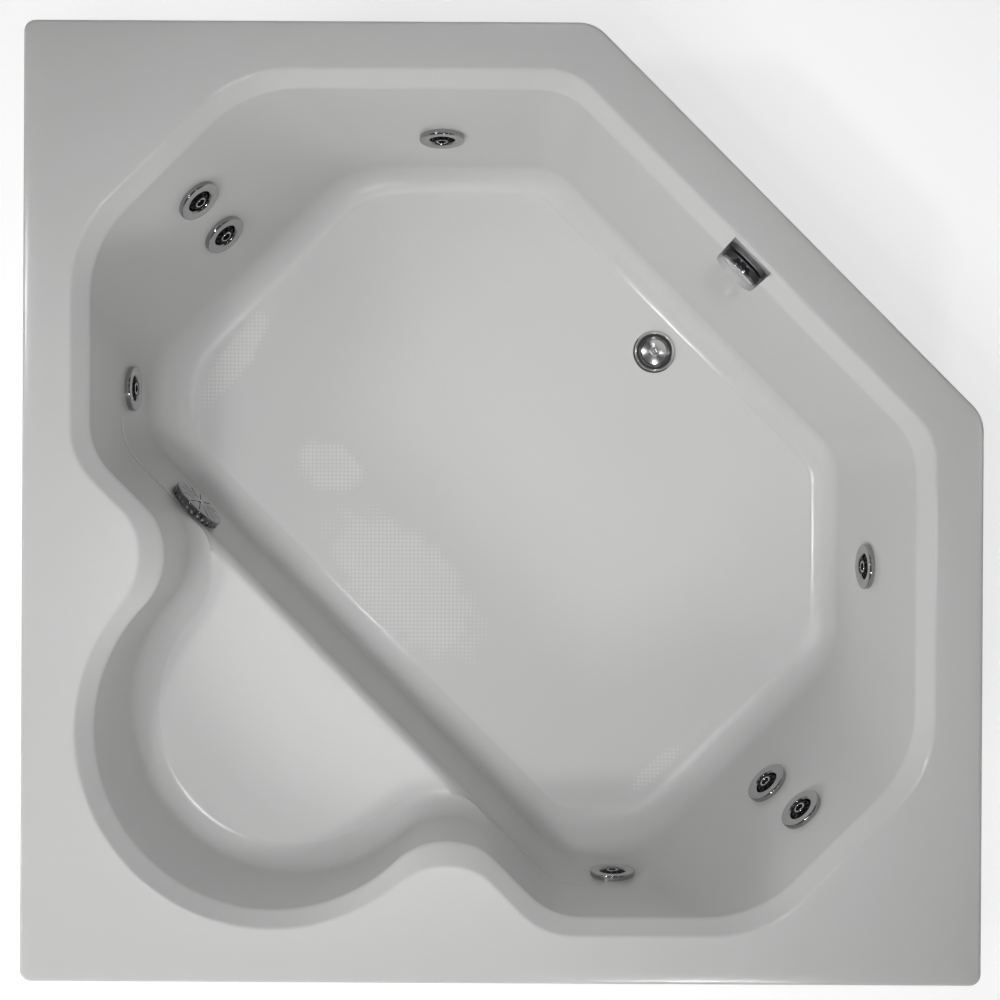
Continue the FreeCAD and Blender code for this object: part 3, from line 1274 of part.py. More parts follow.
def pipe_system(kind, path, main, bore, hoses, barb, barb_bore):
    """Straight runs, fittings and hoses of one main; each hose is a list of corners ending on the main."""
    wall = mm("fitting_wall")
    inset = mm("elbow_bend") * math.tan(math.radians(22.5))
    runs = []
    fittings = []
    for number in range(len(path) - 1):
        way = (path[number + 1] - path[number]).normalize()
        start = path[number] + way * (inset if number else 0)
        end = path[number + 1] - way * (inset if number < len(path) - 2 else 0)
        runs.append(straight_pipe(start, end, main, bore))
    for before, corner, after in zip(path, path[1:], path[2:]):
        legs = [corner + (point - corner).normalize() * mm("fitting_reach") for point in (before, after)]
        fittings.append(pipe([legs[0], corner, legs[1]], main + wall, main + mm("shaft_gap"), mm("elbow_bend")))
    for end, inner in ((path[0], path[1]), (path[-1], path[-2])):
        way = (end - inner).normalize()
        cap = Part.makeCylinder(main + wall, 4 * wall, end - way * (3 * wall), way)
        fittings.append(cap.cut(Part.makeCylinder(main + mm("shaft_gap"), 3 * wall, end - way * (3 * wall), way)))
    tubes = []
    for corners in hoses:
        middle = corners[-1]
        way = (corners[-2] - middle).normalize()
        section = min(range(len(path) - 1), key=lambda item: middle.distanceToLineSegment(
            path[item], path[item + 1]).Length)
        run = (path[section + 1] - path[section]).normalize()
        body, drill = saddle(middle, run, way, main, barb, barb_bore)
        fittings.append(body)
        runs[section] = runs[section].cut(drill)
        end = middle + way * (main + wall + mm("saddle_barb"))
        tubes.append(pipe(corners[:-1] + [end], barb, barb_bore, mm("hose_bend")))
    group(kind + "_hoses", tubes)
    return runs, fittings


def side_hose(number, port, turn, straight_turn, side, height):
    """Corners of a hose that leaves a backrest jet sideways and then follows the wall to the main."""
    start, way = barb_end(number, port, turn)
    slope = JET_PLACES[number].Rotation.multVec(local_turn(straight_turn))
    corner = start + way * ((side - start.dot(ALONG)) / way.dot(ALONG))
    return [start, corner, meet(corner, slope, height)]


def straight_hose(number, port, turn, height):
    """Ends of a hose that runs straight from a jet to the main."""
    start, way = barb_end(number, port, turn)
    return [start, meet(start, way, height)]


water_path = main_path("water_port", 180, MAIN_HEIGHT, MAIN_BACK, 5)
water_hoses = [straight_hose(number, "water_port", 180, MAIN_HEIGHT) for number in (0, 1, 2, 3, 5, 7)]
for number in (4, 6):
    water_hoses.append(side_hose(number, "water_port", 180 + JETS[number][3], 180, mm("saddle_side"), MAIN_HEIGHT))
water_runs, water_fittings = pipe_system("water", water_path, mm("main_radius"), mm("main_bore"), water_hoses,
                                         mm("water_barb"), mm("water_bore"))

DELIVERY_S = FRONT + mm("volute_depth") / 2
tee_middle = diagonal(DELIVERY_S, -MAIN_BACK, MAIN_HEIGHT)
tee_reach = mm("main_radius") + mm("fitting_wall") + mm("insert") + mm("saddle_barb")
tee_half = ACROSS * (mm("hose_radius") + 2 * mm("fitting_wall"))
branch = Part.makeCylinder(mm("hose_radius") + mm("fitting_wall"), tee_reach, tee_middle, ALONG)
tee = Part.makeCylinder(mm("main_radius") + mm("fitting_wall"), 2 * tee_half.Length, tee_middle - tee_half, ACROSS)
tee_sleeve = Part.makeCylinder(mm("main_radius") + mm("shaft_gap"), 2 * tee_half.Length, tee_middle - tee_half,
                               ACROSS)
delivery_way = Part.makeCylinder(mm("main_bore"), tee_reach, tee_middle, ALONG)
branch_end = tee_middle + ALONG * (tee_reach - mm("insert"))
branch_mouth = Part.makeCylinder(mm("hose_radius") + mm("shaft_gap"), mm("insert"), branch_end, ALONG)
water_fittings.append(tee.fuse(branch).cut([tee_sleeve, delivery_way, branch_mouth]))
water_runs[3] = water_runs[3].cut(delivery_way)
delivery_start = PUMP_PLACE.multVec(DELIVERY + TOWARDS_MAIN * (mm("outlet_reach") - mm("insert")))
water_runs.append(straight_pipe(delivery_start, branch_end, mm("hose_radius"), mm("hose_bore")))
group("water_main", water_runs)
group("water_fittings", water_fittings)

air_path = main_path("air_port", 0, AIR_HEIGHT, AIR_BACK, 4)
air_hoses = [straight_hose(number, "air_port", 0, AIR_HEIGHT) for number in (0, 1, 2, 3, 4, 6)]
for number in (5, 7):
    air_hoses.append(side_hose(number, "air_port", JETS[number][4], 0, -mm("saddle_side"), AIR_HEIGHT))
air_runs, air_fittings = pipe_system("air", air_path, mm("air_radius"), mm("air_bore"), air_hoses, mm("air_barb"),
                                     mm("air_barb_bore"))


def air_intake():
    """Small silencer under the air main, with inlet holes round its foot."""
    middle = diagonal(0, -AIR_BACK, AIR_HEIGHT)
    half = ACROSS * (mm("saddle_length") / 2)
    ring = Part.makeCylinder(mm("air_radius") + mm("fitting_wall"), mm("saddle_length"), middle - half, ACROSS)
    neck = Part.makeCylinder(mm("air_radius"), 2 * mm("intake_radius"), middle, DOWN)
    top = middle + DOWN * (mm("air_radius") + 3 * mm("fitting_wall"))
    can = Part.makeCylinder(mm("intake_radius"), mm("intake_length"), top, DOWN)
    room = Part.makeCylinder(mm("intake_radius") - mm("cover_wall"), mm("intake_length") - 2 * mm("cover_wall"),
                             top + DOWN * mm("cover_wall"), DOWN)
    sleeve = Part.makeCylinder(mm("air_radius") + mm("shaft_gap"), mm("saddle_length"), middle - half, ACROSS)
    drill = Part.makeCylinder(mm("air_bore") - 1, 2 * mm("intake_radius"), middle, DOWN)
    inlets = []
    for number in range(8):
        low = top + DOWN * (mm("intake_length") - 3 * mm("cover_wall"))
        inlets.append(Part.makeCylinder(mm("air_barb_bore"), mm("intake_radius"), low, outward(45 * number)))
    feature("air_intake", ring.fuse([neck, can]).cut([room, sleeve, drill] + inlets))
    return drill


air_runs[3] = air_runs[3].cut(air_intake())
group("air_main", air_runs)
group("air_fittings", air_fittings)

doc.recompute()

NODES = [
    "tub_shell", "base_board", "base_runners", "pump_board", "deck_stiffeners",
    "drain_flange", "drain_stopper", "stopper_seal", "waste_gaskets", "drain_shoe", "waste_tube", "waste_tee",
    "tailpiece", "overflow_tube", "overflow_elbow", "slip_nuts", "drain_cable", "overflow_plate", "overflow_knob",
    "jet_bodies", "wall_gaskets", "wall_nuts",
    "suction_body", "suction_cover", "suction_screw", "suction_hose",
    "pump_volute", "pump_impeller", "pump_shaft", "seal_plate", "motor_housing", "motor_fan", "fan_cover",
    "terminal_box", "cable_gland", "motor_foot", "pump_pads",
    "water_main", "water_fittings", "water_hoses", "air_main", "air_fittings", "air_hoses", "air_intake",
]
for number in range(1, len(JETS) + 1):
    NODES += [f"jet_ring_{number}", f"jet_nozzle_{number}"]

for item in doc.Objects:
    if "Invalid" in item.State or "Error" in item.State:
        raise RuntimeError(f"{item.Label} did not recompute: {item.State}")

os.makedirs("parts", exist_ok=True)
for label in NODES:
    shape = doc.getObjectsByLabel(label)[0].Shape
    if shape.isNull() or not shape.isValid():
        raise RuntimeError(f"{label} has no valid shape")
    shape.exportStep(f"parts/{label}.step")
    print(f"{label}: {len(shape.Solids)} solid(s), {shape.Volume / 1000:.1f} cm3")
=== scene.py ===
# %% [markdown]
# # A corner bath with water jets
# This lesson dresses a corner bath that was built in CAD. The CAD part is loaded as a fixed frame, so
# every jet, pipe and board is already in its real place, in metres. Blender adds what a solid modeller
# leaves plain: the soft lines of the moulding, the tread on the floor, and the finishes.

# %% Load the frame
import json
import math

import bmesh
import bpy
import numpy as np
from mathutils import Matrix, Vector


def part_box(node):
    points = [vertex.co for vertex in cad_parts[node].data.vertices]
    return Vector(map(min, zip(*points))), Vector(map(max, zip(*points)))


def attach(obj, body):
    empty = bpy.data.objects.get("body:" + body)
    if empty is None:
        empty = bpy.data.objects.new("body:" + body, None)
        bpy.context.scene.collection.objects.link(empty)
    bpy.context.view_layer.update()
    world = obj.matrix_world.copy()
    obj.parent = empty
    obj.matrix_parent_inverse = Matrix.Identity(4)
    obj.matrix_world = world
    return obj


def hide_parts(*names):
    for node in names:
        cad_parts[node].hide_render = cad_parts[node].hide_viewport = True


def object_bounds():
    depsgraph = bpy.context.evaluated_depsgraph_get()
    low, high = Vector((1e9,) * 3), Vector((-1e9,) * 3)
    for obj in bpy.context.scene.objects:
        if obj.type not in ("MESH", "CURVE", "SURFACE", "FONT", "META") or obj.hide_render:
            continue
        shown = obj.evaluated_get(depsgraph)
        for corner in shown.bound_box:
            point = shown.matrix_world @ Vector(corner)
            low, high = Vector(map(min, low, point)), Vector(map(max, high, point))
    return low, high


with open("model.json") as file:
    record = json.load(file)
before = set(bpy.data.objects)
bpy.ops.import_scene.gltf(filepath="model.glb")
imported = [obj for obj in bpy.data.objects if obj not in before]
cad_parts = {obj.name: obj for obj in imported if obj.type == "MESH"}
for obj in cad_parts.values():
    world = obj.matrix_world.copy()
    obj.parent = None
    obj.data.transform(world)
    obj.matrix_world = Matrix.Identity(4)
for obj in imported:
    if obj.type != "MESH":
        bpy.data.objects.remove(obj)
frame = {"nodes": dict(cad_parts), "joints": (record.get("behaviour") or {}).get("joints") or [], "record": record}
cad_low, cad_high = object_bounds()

scene = bpy.context.scene
nodes = frame["nodes"]
print(f"{len(nodes)} CAD nodes, box {tuple(round(v, 3) for v in cad_high - cad_low)} m")

# %% [markdown]
# ## The camera
# The photograph was taken from almost straight above the bath, from well over head height, with the whole
# deck just inside the frame. A long lens far away gives that: the walls show only a little perspective.
# The height, lens and slight tilt were found by comparing picture points of the rim, the jets and the drain
# with their places on the part.

# %% Camera above the deck
SENSOR_MM = 36.0
LENS_MM = 102.3
CAMERA_X, CAMERA_Y, CAMERA_ABOVE_DECK = -0.004, 0.021, 4.5
CAMERA_TILT = (-0.0036, 0.0001, 0.0053)
CLIP_END = 100
PICTURE_POINTS = 1000
deck_z = cad_high.z

camera_data = bpy.data.cameras.new("camera")
camera_data.sensor_width = SENSOR_MM
camera_data.lens = LENS_MM
camera_data.clip_end = CLIP_END
camera = bpy.data.objects.new("camera", camera_data)
camera.location = (CAMERA_X, CAMERA_Y, deck_z + CAMERA_ABOVE_DECK)
camera.rotation_euler = CAMERA_TILT
scene.collection.objects.link(camera)
scene.camera = camera
points = LENS_MM / SENSOR_MM * PICTURE_POINTS / CAMERA_ABOVE_DECK
print(f"one metre of deck is {points:.0f} picture points")

# %% [markdown]
# ## Floor and room
# The bath stands on a plain pale floor. To the camera the floor is white, as a cut-out picture's ground
# is, but it keeps the bath's shadow: near the bath most of the white is a glow and the rest is a matt surface
# that the lamps light, so it is white in the light and soft grey in the shade. Further out it is all glow.
# Rays that only carry light see an ordinary pale floor. A Light Path node tells the kinds of ray apart.

# %% Helper that adds a shader node
def add_node(tree, kind, **inputs):
    """Adds a node and sets the named inputs."""
    node = tree.nodes.new(kind)
    for name, value in inputs.items():
        node.inputs[name.replace("_", " ")].default_value = value
    return node


# %% Glow that keeps a shadow
WHITE = (1, 1, 1, 1)
FLOOR_GLOW, FLOOR_MATT = 0.68, 0.5
SHADOW_REACH, SHADOW_END = 1.3, 2.4


def shadow_catcher(tree):
    """Glow with a matt share near the bath, and plain white glow further out."""
    part_glow = add_node(tree, "ShaderNodeEmission", Color=WHITE, Strength=FLOOR_GLOW)
    matt = add_node(tree, "ShaderNodeBsdfDiffuse", Color=(FLOOR_MATT, FLOOR_MATT, FLOOR_MATT, 1))
    near = tree.nodes.new("ShaderNodeAddShader")
    far = add_node(tree, "ShaderNodeEmission", Color=WHITE, Strength=1.0)
    place = tree.nodes.new("ShaderNodeTexCoord")
    distance = tree.nodes.new("ShaderNodeVectorMath")
    distance.operation = "LENGTH"
    fade = add_node(tree, "ShaderNodeMapRange", From_Min=SHADOW_REACH, From_Max=SHADOW_END)
    mix = tree.nodes.new("ShaderNodeMixShader")
    tree.links.new(part_glow.outputs[0], near.inputs[0])
    tree.links.new(matt.outputs[0], near.inputs[1])
    tree.links.new(place.outputs["Object"], distance.inputs[0])
    tree.links.new(distance.outputs["Value"], fade.inputs["Value"])
    tree.links.new(fade.outputs["Result"], mix.inputs[0])
    tree.links.new(near.outputs[0], mix.inputs[1])
    tree.links.new(far.outputs[0], mix.inputs[2])
    return mix


# %% White for the camera, pale for the light
def white_to_camera(tree, seen_shader, other_shader):
    """Mixes what camera and mirror rays see with a shader for all other rays."""
    path = tree.nodes.new("ShaderNodeLightPath")
    glossy = tree.nodes.new("ShaderNodeMath")
    glossy.operation = "MAXIMUM"
    seen = tree.nodes.new("ShaderNodeMath")
    seen.operation = "MAXIMUM"
    mix = tree.nodes.new("ShaderNodeMixShader")
    tree.links.new(path.outputs["Is Glossy Ray"], glossy.inputs[0])
    tree.links.new(path.outputs["Is Transmission Ray"], glossy.inputs[1])
    tree.links.new(path.outputs["Is Camera Ray"], seen.inputs[0])
    tree.links.new(glossy.outputs[0], seen.inputs[1])
    tree.links.new(seen.outputs[0], mix.inputs[0])
    tree.links.new(other_shader.outputs[0], mix.inputs[1])
    tree.links.new(seen_shader.outputs[0], mix.inputs[2])
    return mix


# %% Lay the floor
FLOOR_SIZE = 40.0
FLOOR_PALE, FLOOR_ROUGHNESS = 0.8, 0.9


def floor_material():
    """Pale floor, white where the camera looks straight at it."""
    material = bpy.data.materials.new("pale_floor")
    material.use_nodes = True
    tree = material.node_tree
    plain = tree.nodes["Principled BSDF"]
    plain.inputs["Base Color"].default_value = (FLOOR_PALE, FLOOR_PALE, FLOOR_PALE, 1)
    plain.inputs["Roughness"].default_value = FLOOR_ROUGHNESS
    mix = white_to_camera(tree, shadow_catcher(tree), plain)
    tree.links.new(mix.outputs[0], tree.nodes["Material Output"].inputs["Surface"])
    return material


bpy.ops.mesh.primitive_plane_add(size=FLOOR_SIZE, location=(0, 0, 0))
floor = bpy.context.object
floor.name = "room_floor"
floor.data.materials.append(floor_material())
print(f"floor {FLOOR_SIZE:.0f} m wide, with the shadow kept up to {SHADOW_END} m from the middle")

# %% [markdown]
# ## Light
# The basin floor in the photograph is evenly lit, so soft light comes from overhead. The walls that face the
# seat corner are brighter than the ones that look away from it, and the deck grows darker away from that
# corner, so a second soft lamp stands low outside it. Neither shows in the gloss. The short bright lines on
# the fillets lie where the surface faces the viewer, which tells of a small hard lamp close to the camera.
# Four more small ones round the room give the chrome its glints, and the two on the seat's side, which are
# stronger, light the deck as well.

# %% Lamp that looks at the bath
BATH_MIDDLE = (0, 0, 0.3)


def area_light(name, place, size, watts, target=BATH_MIDDLE):
    """Square soft light aimed at a target, by default the middle of the bath."""
    data = bpy.data.lights.new(name, "AREA")
    data.size = size
    data.energy = watts
    lamp = bpy.data.objects.new(name, data)
    lamp.location = place
    aim = Vector(target) - Vector(place)
    lamp.rotation_euler = aim.to_track_quat("-Z", "Y").to_euler()
    scene.collection.objects.link(lamp)
    return lamp


# %% Lamps round the bath
CEILING_SPREAD = math.radians(34)
# Each small lamp: name, place, size in metres, watts
SMALL_LAMPS = [
    ("camera_lamp", (-0.14, -0.12, 4.9), 0.14, 9),
    ("left_lamp", (-2.3, 0.6, 4.2), 0.3, 27),
    ("near_lamp", (0.6, -2.3, 4.2), 0.3, 27),
    ("right_lamp", (2.2, 0.2, 4.2), 0.25, 3),
    ("top_lamp", (0.2, 2.2, 4.2), 0.25, 3),
]
ceiling_light = area_light("ceiling_light", (-0.6, -0.6, 4.6), 0.9, 3.4, (-0.05, -0.05, 0.3))
ceiling_light.data.spread = CEILING_SPREAD
seat_corner_light = area_light("seat_corner_light", (-2.0, -2.0, 1.95), 0.8, 35)
for lamp in (ceiling_light, seat_corner_light):
    lamp.visible_glossy = False
for name, place, size, watts in SMALL_LAMPS:
    area_light(name, place, size, watts)
print(f"{len(SMALL_LAMPS)} small lamps and 2 soft ones")

# %% [markdown]
# ### The room around
# The world is white at the horizon and dark overhead, like a hall with pale walls and a high ceiling. That
# is what makes chrome look like chrome: it needs something bright and something dark to mirror.

# %% Pale walls and a dark ceiling
WALL_RISE, WALL_GLOW = 0.1, 0.85
CEILING_RISE, CEILING_GLOW = 0.35, 0.05
scene.world = bpy.data.worlds.new("hall")
scene.world.use_nodes = True
hall = scene.world.node_tree
sky = hall.nodes["Background"]
sky.inputs["Color"].default_value = WHITE
look = hall.nodes.new("ShaderNodeTexCoord")
split = hall.nodes.new("ShaderNodeSeparateXYZ")
fade = add_node(hall, "ShaderNodeMapRange", From_Min=WALL_RISE, From_Max=CEILING_RISE, To_Min=WALL_GLOW,
                To_Max=CEILING_GLOW)
hall.links.new(look.outputs["Generated"], split.inputs["Vector"])
hall.links.new(split.outputs["Z"], fade.inputs["Value"])
hall.links.new(fade.outputs["Result"], sky.inputs["Strength"])
scene.view_settings.view_transform = "Standard"
print(f"hall: strength {WALL_GLOW} at the walls, {CEILING_GLOW} overhead")

# %% [markdown]
# ## Finishes
# Every finish is made from nodes, with no pictures. Each one is a Principled shader whose colour and
# roughness vary a little over the surface through a noise, because no real surface is one flat value.
# One helper makes that pattern, and each finish then sets what is its own: gloss, metal or coat.

# %% Helper for a finish that varies a little
def finish(name, colour, other, scale, roughness, spread=0.04, **sockets):
    """Principled finish: a noise mixes two near colours and spreads the roughness."""
    material = bpy.data.materials.new(name)
    material.use_nodes = True
    tree = material.node_tree
    shader = tree.nodes["Principled BSDF"]
    place = tree.nodes.new("ShaderNodeTexCoord")
    noise = add_node(tree, "ShaderNodeTexNoise", Scale=scale, Detail=4.0)
    tree.links.new(place.outputs["Object"], noise.inputs["Vector"])
    ramp = tree.nodes.new("ShaderNodeMix")
    ramp.data_type = "RGBA"
    # A colour mix keeps its two colours in inputs 6 and 7 and gives its result in output 2
    ramp.inputs[6].default_value = (*colour, 1)
    ramp.inputs[7].default_value = (*other, 1)
    tree.links.new(noise.outputs["Fac"], ramp.inputs[0])
    tree.links.new(ramp.outputs[2], shader.inputs["Base Color"])
    rough = add_node(tree, "ShaderNodeMapRange")
    rough.inputs["To Min"].default_value = max(0.0, roughness - spread)
    rough.inputs["To Max"].default_value = roughness + spread
    tree.links.new(noise.outputs["Fac"], rough.inputs["Value"])
    tree.links.new(rough.outputs["Result"], shader.inputs["Roughness"])
    for socket, value in sockets.items():
        shader.inputs[socket.replace("_", " ")].default_value = value
    return material


# %% [markdown]
# ### Acrylic, chrome and rubber
# The bath is vacuum-formed acrylic: a pale grey sheet with a clear gloss. The fittings that show in the
# basin are chromed, which is a metal with almost no roughness. Gaskets and pads are black rubber.

# %% Finishes of the pieces in the basin
acrylic = finish("acrylic", (0.57, 0.57, 0.56), (0.59, 0.59, 0.585), 3.0, 0.14, IOR=1.49)
# Paler than the sheet, though it is the same acrylic: a painted highlight for the glints on the tread's domes
tread_painted_highlight = finish("tread_painted_highlight", (0.67, 0.67, 0.66), (0.72, 0.72, 0.71), 40.0, 0.16, IOR=1.49)
chrome = finish("chrome", (0.72, 0.73, 0.75), (0.66, 0.67, 0.69), 30.0, 0.09, Metallic=1.0)
# Paler and rougher than the other chrome: the paleness is a painted highlight on the drain's bead and stopper
chrome_painted_highlight = finish("chrome_painted_highlight", (0.88, 0.88, 0.87), (0.80, 0.80, 0.79), 30.0, 0.2, Metallic=1.0)
# Darker than the other chrome: painted shade on the jet rings, so that their faces read at the wall's tone
chrome_painted_shade = finish("chrome_painted_shade", (0.46, 0.46, 0.46), (0.42, 0.42, 0.42), 30.0, 0.12, Metallic=1.0)
satin = finish("satin_chrome", (0.42, 0.42, 0.43), (0.38, 0.38, 0.39), 40.0, 0.3, Metallic=1.0)
# Darkest copy of the chrome: painted shade on the overflow drum and the suction grille
chrome_painted_dark_shade = finish("chrome_painted_dark_shade", (0.30, 0.30, 0.31), (0.25, 0.25, 0.26), 30.0, 0.1, Metallic=1.0)
nozzle_dark = finish("nozzle_dark", (0.005, 0.005, 0.006), (0.010, 0.010, 0.011), 60.0, 0.2)
rubber = finish("rubber", (0.02, 0.02, 0.02), (0.03, 0.03, 0.03), 80.0, 0.7)
print("basin:", ", ".join(made.name for made in (acrylic, chrome, chrome_painted_dark_shade, nozzle_dark, rubber)))

# %% [markdown]
# ### Where the sheet is dull
# The basin floor and the seat show no mirror image in the photograph, so they are dull here, and the feet of
# the backrests and of the top wall are half dull. A second material could be given to some faces, but a mask
# in the one material leaves the sheet in one piece. The material knows the place of the point that it
# shades: Compare nodes mark a band of heights, and a dot product tells how far out on a diagonal the point
# lies. The backrests are far out on one diagonal, the seat on the other, and the top wall is far out along Y.

# %% Helpers for the masks
tree = acrylic.node_tree
where = tree.nodes.new("ShaderNodeTexCoord")
height = tree.nodes.new("ShaderNodeSeparateXYZ")
tree.links.new(where.outputs["Object"], height.inputs["Vector"])


def calculate(operation, first, second, third=0.0):
    """Adds a math node; its first input is a socket, the others are sockets or numbers."""
    node = tree.nodes.new("ShaderNodeMath")
    node.operation = operation
    for socket, value in zip(node.inputs, (first, second, third)):
        if isinstance(value, float):
            socket.default_value = value
        else:
            tree.links.new(value, socket)
    return node.outputs[0]


def height_band(low, high):
    """Mask that is 1 between two heights."""
    return calculate("COMPARE", height.outputs["Z"], (low + high) / 2, (high - low) / 2)


def out_along(x, y):
    """Distance from the middle towards a corner of the bath."""
    diagonal = tree.nodes.new("ShaderNodeVectorMath")
    diagonal.operation = "DOT_PRODUCT"
    diagonal.inputs[1].default_value = (x * math.sqrt(0.5), y * math.sqrt(0.5), 0)
    tree.links.new(where.outputs["Object"], diagonal.inputs[0])
    return diagonal.outputs["Value"]


def fade_in(value, start, end):
    """Soft mask that rises from 0 to 1 between two values."""
    ramp = add_node(tree, "ShaderNodeMapRange", From_Min=start, From_Max=end)
    tree.links.new(value, ramp.inputs["Value"])
    return ramp.outputs["Result"]


# %% Raise the roughness where the sheet is dull
DULL_ROUGHNESS, FOOT_ROUGHNESS = 0.55, 0.26
MM = 0.001
BASIN_DEPTH, SEAT_DEPTH = 430.0, 195.0
FLOOR_Z, SEAT_Z = deck_z - BASIN_DEPTH * MM, deck_z - SEAT_DEPTH * MM
BACKREST_START, BACKREST_END = 0.43, 0.51
TOP_START, TOP_END = 0.40, 0.52
FOOT_TOP, FOOT_BOTTOM = 0.04, 0.008
SEAT_FRONT = 0.37
SEAT_UNDER, SEAT_OVER = 0.0012, 0.00005
FLOOR_UNDER, FLOOR_OVER = 0.001, 0.00003
far_out = calculate("ABSOLUTE", out_along(1, -1), 0.0)
backrest = fade_in(far_out, BACKREST_START, BACKREST_END)
top_wall = fade_in(height.outputs["Y"], TOP_START, TOP_END)
low_down = fade_in(height.outputs["Z"], FLOOR_Z + FOOT_TOP, FLOOR_Z + FOOT_BOTTOM)
foot = calculate("MULTIPLY", calculate("MAXIMUM", backrest, top_wall), low_down)
seat_side = calculate("GREATER_THAN", out_along(-1, -1), SEAT_FRONT)
seat = calculate("MULTIPLY", seat_side, height_band(SEAT_Z - SEAT_UNDER, SEAT_Z + SEAT_OVER))
flat_floor = height_band(FLOOR_Z - FLOOR_UNDER, FLOOR_Z + FLOOR_OVER)
floor_or_seat = calculate("MAXIMUM", seat, flat_floor)
soft_foot = calculate("MULTIPLY", foot, FOOT_ROUGHNESS)
dull = calculate("MAXIMUM", soft_foot, calculate("MULTIPLY", floor_or_seat, DULL_ROUGHNESS))
gloss = tree.nodes["Principled BSDF"].inputs["Roughness"]
tree.links.new(calculate("MAXIMUM", gloss.links[0].from_socket, dull), gloss)
print(f"dull floor at {FLOOR_Z:.3f} m and seat at {SEAT_Z:.3f} m")

# %% [markdown]
# ### What hides under the deck
# White pipe, clear vinyl hose, black moulded plastic, a painted motor and a ground steel shaft. They are
# never seen in the photograph, but a part that is reused is seen from every side.

# %% Finishes under the deck
white_pipe = finish("white_pipe", (0.78, 0.78, 0.75), (0.72, 0.72, 0.70), 12.0, 0.42)
clear_hose = finish("clear_hose", (0.66, 0.70, 0.72), (0.58, 0.63, 0.66), 25.0, 0.25,
                    Transmission_Weight=0.35)
black_plastic = finish("black_plastic", (0.022, 0.022, 0.024), (0.035, 0.035, 0.037), 90.0, 0.5)
motor_paint = finish("motor_paint", (0.030, 0.036, 0.045), (0.042, 0.050, 0.060), 40.0, 0.38, Coat_Weight=0.2)
steel = finish("steel", (0.52, 0.53, 0.54), (0.60, 0.61, 0.62), 50.0, 0.28, Metallic=1.0)
print("under the deck:", ", ".join(made.name for made in (white_pipe, clear_hose, motor_paint, steel)))

# %% [markdown]
# ### Wood
# Grain is rings stretched along the board. A wave texture pushed about by a noise gives those lines, and a
# ramp turns them into two browns. Plywood shows broad, pale figure; sawn pine has tighter, redder lines.

# %% Wood finish
GRAIN_STRETCH = (1.0, 0.06, 1.0)
WOOD_ROUGHNESS = 0.65


def wood(name, light, dark, turn, lines):
    """Board with grain along its length."""
    material = bpy.data.materials.new(name)
    material.use_nodes = True
    tree = material.node_tree
    shader = tree.nodes["Principled BSDF"]
    place = tree.nodes.new("ShaderNodeTexCoord")
    lay = tree.nodes.new("ShaderNodeMapping")
    lay.inputs["Rotation"].default_value = (0, 0, turn)
    lay.inputs["Scale"].default_value = GRAIN_STRETCH
    wave = add_node(tree, "ShaderNodeTexWave", Scale=lines, Distortion=7.0, Detail=3.0)
    tree.links.new(place.outputs["Object"], lay.inputs["Vector"])
    tree.links.new(lay.outputs["Vector"], wave.inputs["Vector"])
    ramp = tree.nodes.new("ShaderNodeValToRGB")
    ramp.color_ramp.elements[0].color = (*dark, 1)
    ramp.color_ramp.elements[1].color = (*light, 1)
    tree.links.new(wave.outputs["Fac"], ramp.inputs["Fac"])
    tree.links.new(ramp.outputs["Color"], shader.inputs["Base Color"])
    shader.inputs["Roughness"].default_value = WOOD_ROUGHNESS
    return material


plywood = wood("plywood", (0.55, 0.39, 0.22), (0.44, 0.29, 0.15), math.pi / 4, 9.0)
pine = wood("pine", (0.62, 0.43, 0.23), (0.47, 0.28, 0.12), math.pi / 4, 22.0)
print("boards:", plywood.name, "and", pine.name)

# %% [markdown]
# ### Giving each CAD node its finish
# The record that came with the frame says which material slot each node has, so the finishes are handed
# out by slot. The CAD meshes are only painted, never moved.

# %% Paint the CAD nodes
FINISHES = {
    "acrylic": acrylic,
    "chrome": chrome,
    "nozzle_dark": nozzle_dark,
    "rubber": rubber,
    "white_pipe": white_pipe,
    "clear_hose": clear_hose,
    "black_plastic": black_plastic,
    "motor_paint": motor_paint,
    "steel": steel,
    "plywood": plywood,
    "pine": pine,
}
for entry in frame["record"]["subparts"]:
    node = nodes[entry["node"]]
    node.data.materials.clear()
    node.data.materials.append(FINISHES[entry["material_slot"]])
nodes["overflow_plate"].data.materials[0] = satin
print("finishes:", ", ".join(sorted(FINISHES)))

# %% [markdown]
# ## The moulding
# The bath itself is one vacuum-formed sheet, and its corners flow into one another. A stack of booleans
# and bevels could copy it, but bevels fail where soft edges meet. So the sheet is described by its level
# lines instead, like a contour map: at every depth below the deck the outline of the hollow is a known
# closed curve, and spokes from one hub cross all of those curves in order. Points on the spokes, joined
# ring by ring, make a clean mesh whose lines follow the rim, the crease and the fillets.
#
# First come the sizes: each wall's angle, rim distance from the middle, lean and floor fillet.

# %% Sizes of the moulding, in millimetres
DECK_TOP = deck_z / MM
HALF_SIDE = cad_high.x / MM
DECK_WIDTH = 76.0
CUT_EDGE = 638.5
SHEET = 8.0
BEVEL_RUN, BEVEL_DROP = 27.0, 25.0
RIM_ROUND, CREASE_ROUND, SEAT_FRONT_ROUND = 9.0, 8.5, 20.0
SIDE_RIM = HALF_SIDE - DECK_WIDTH
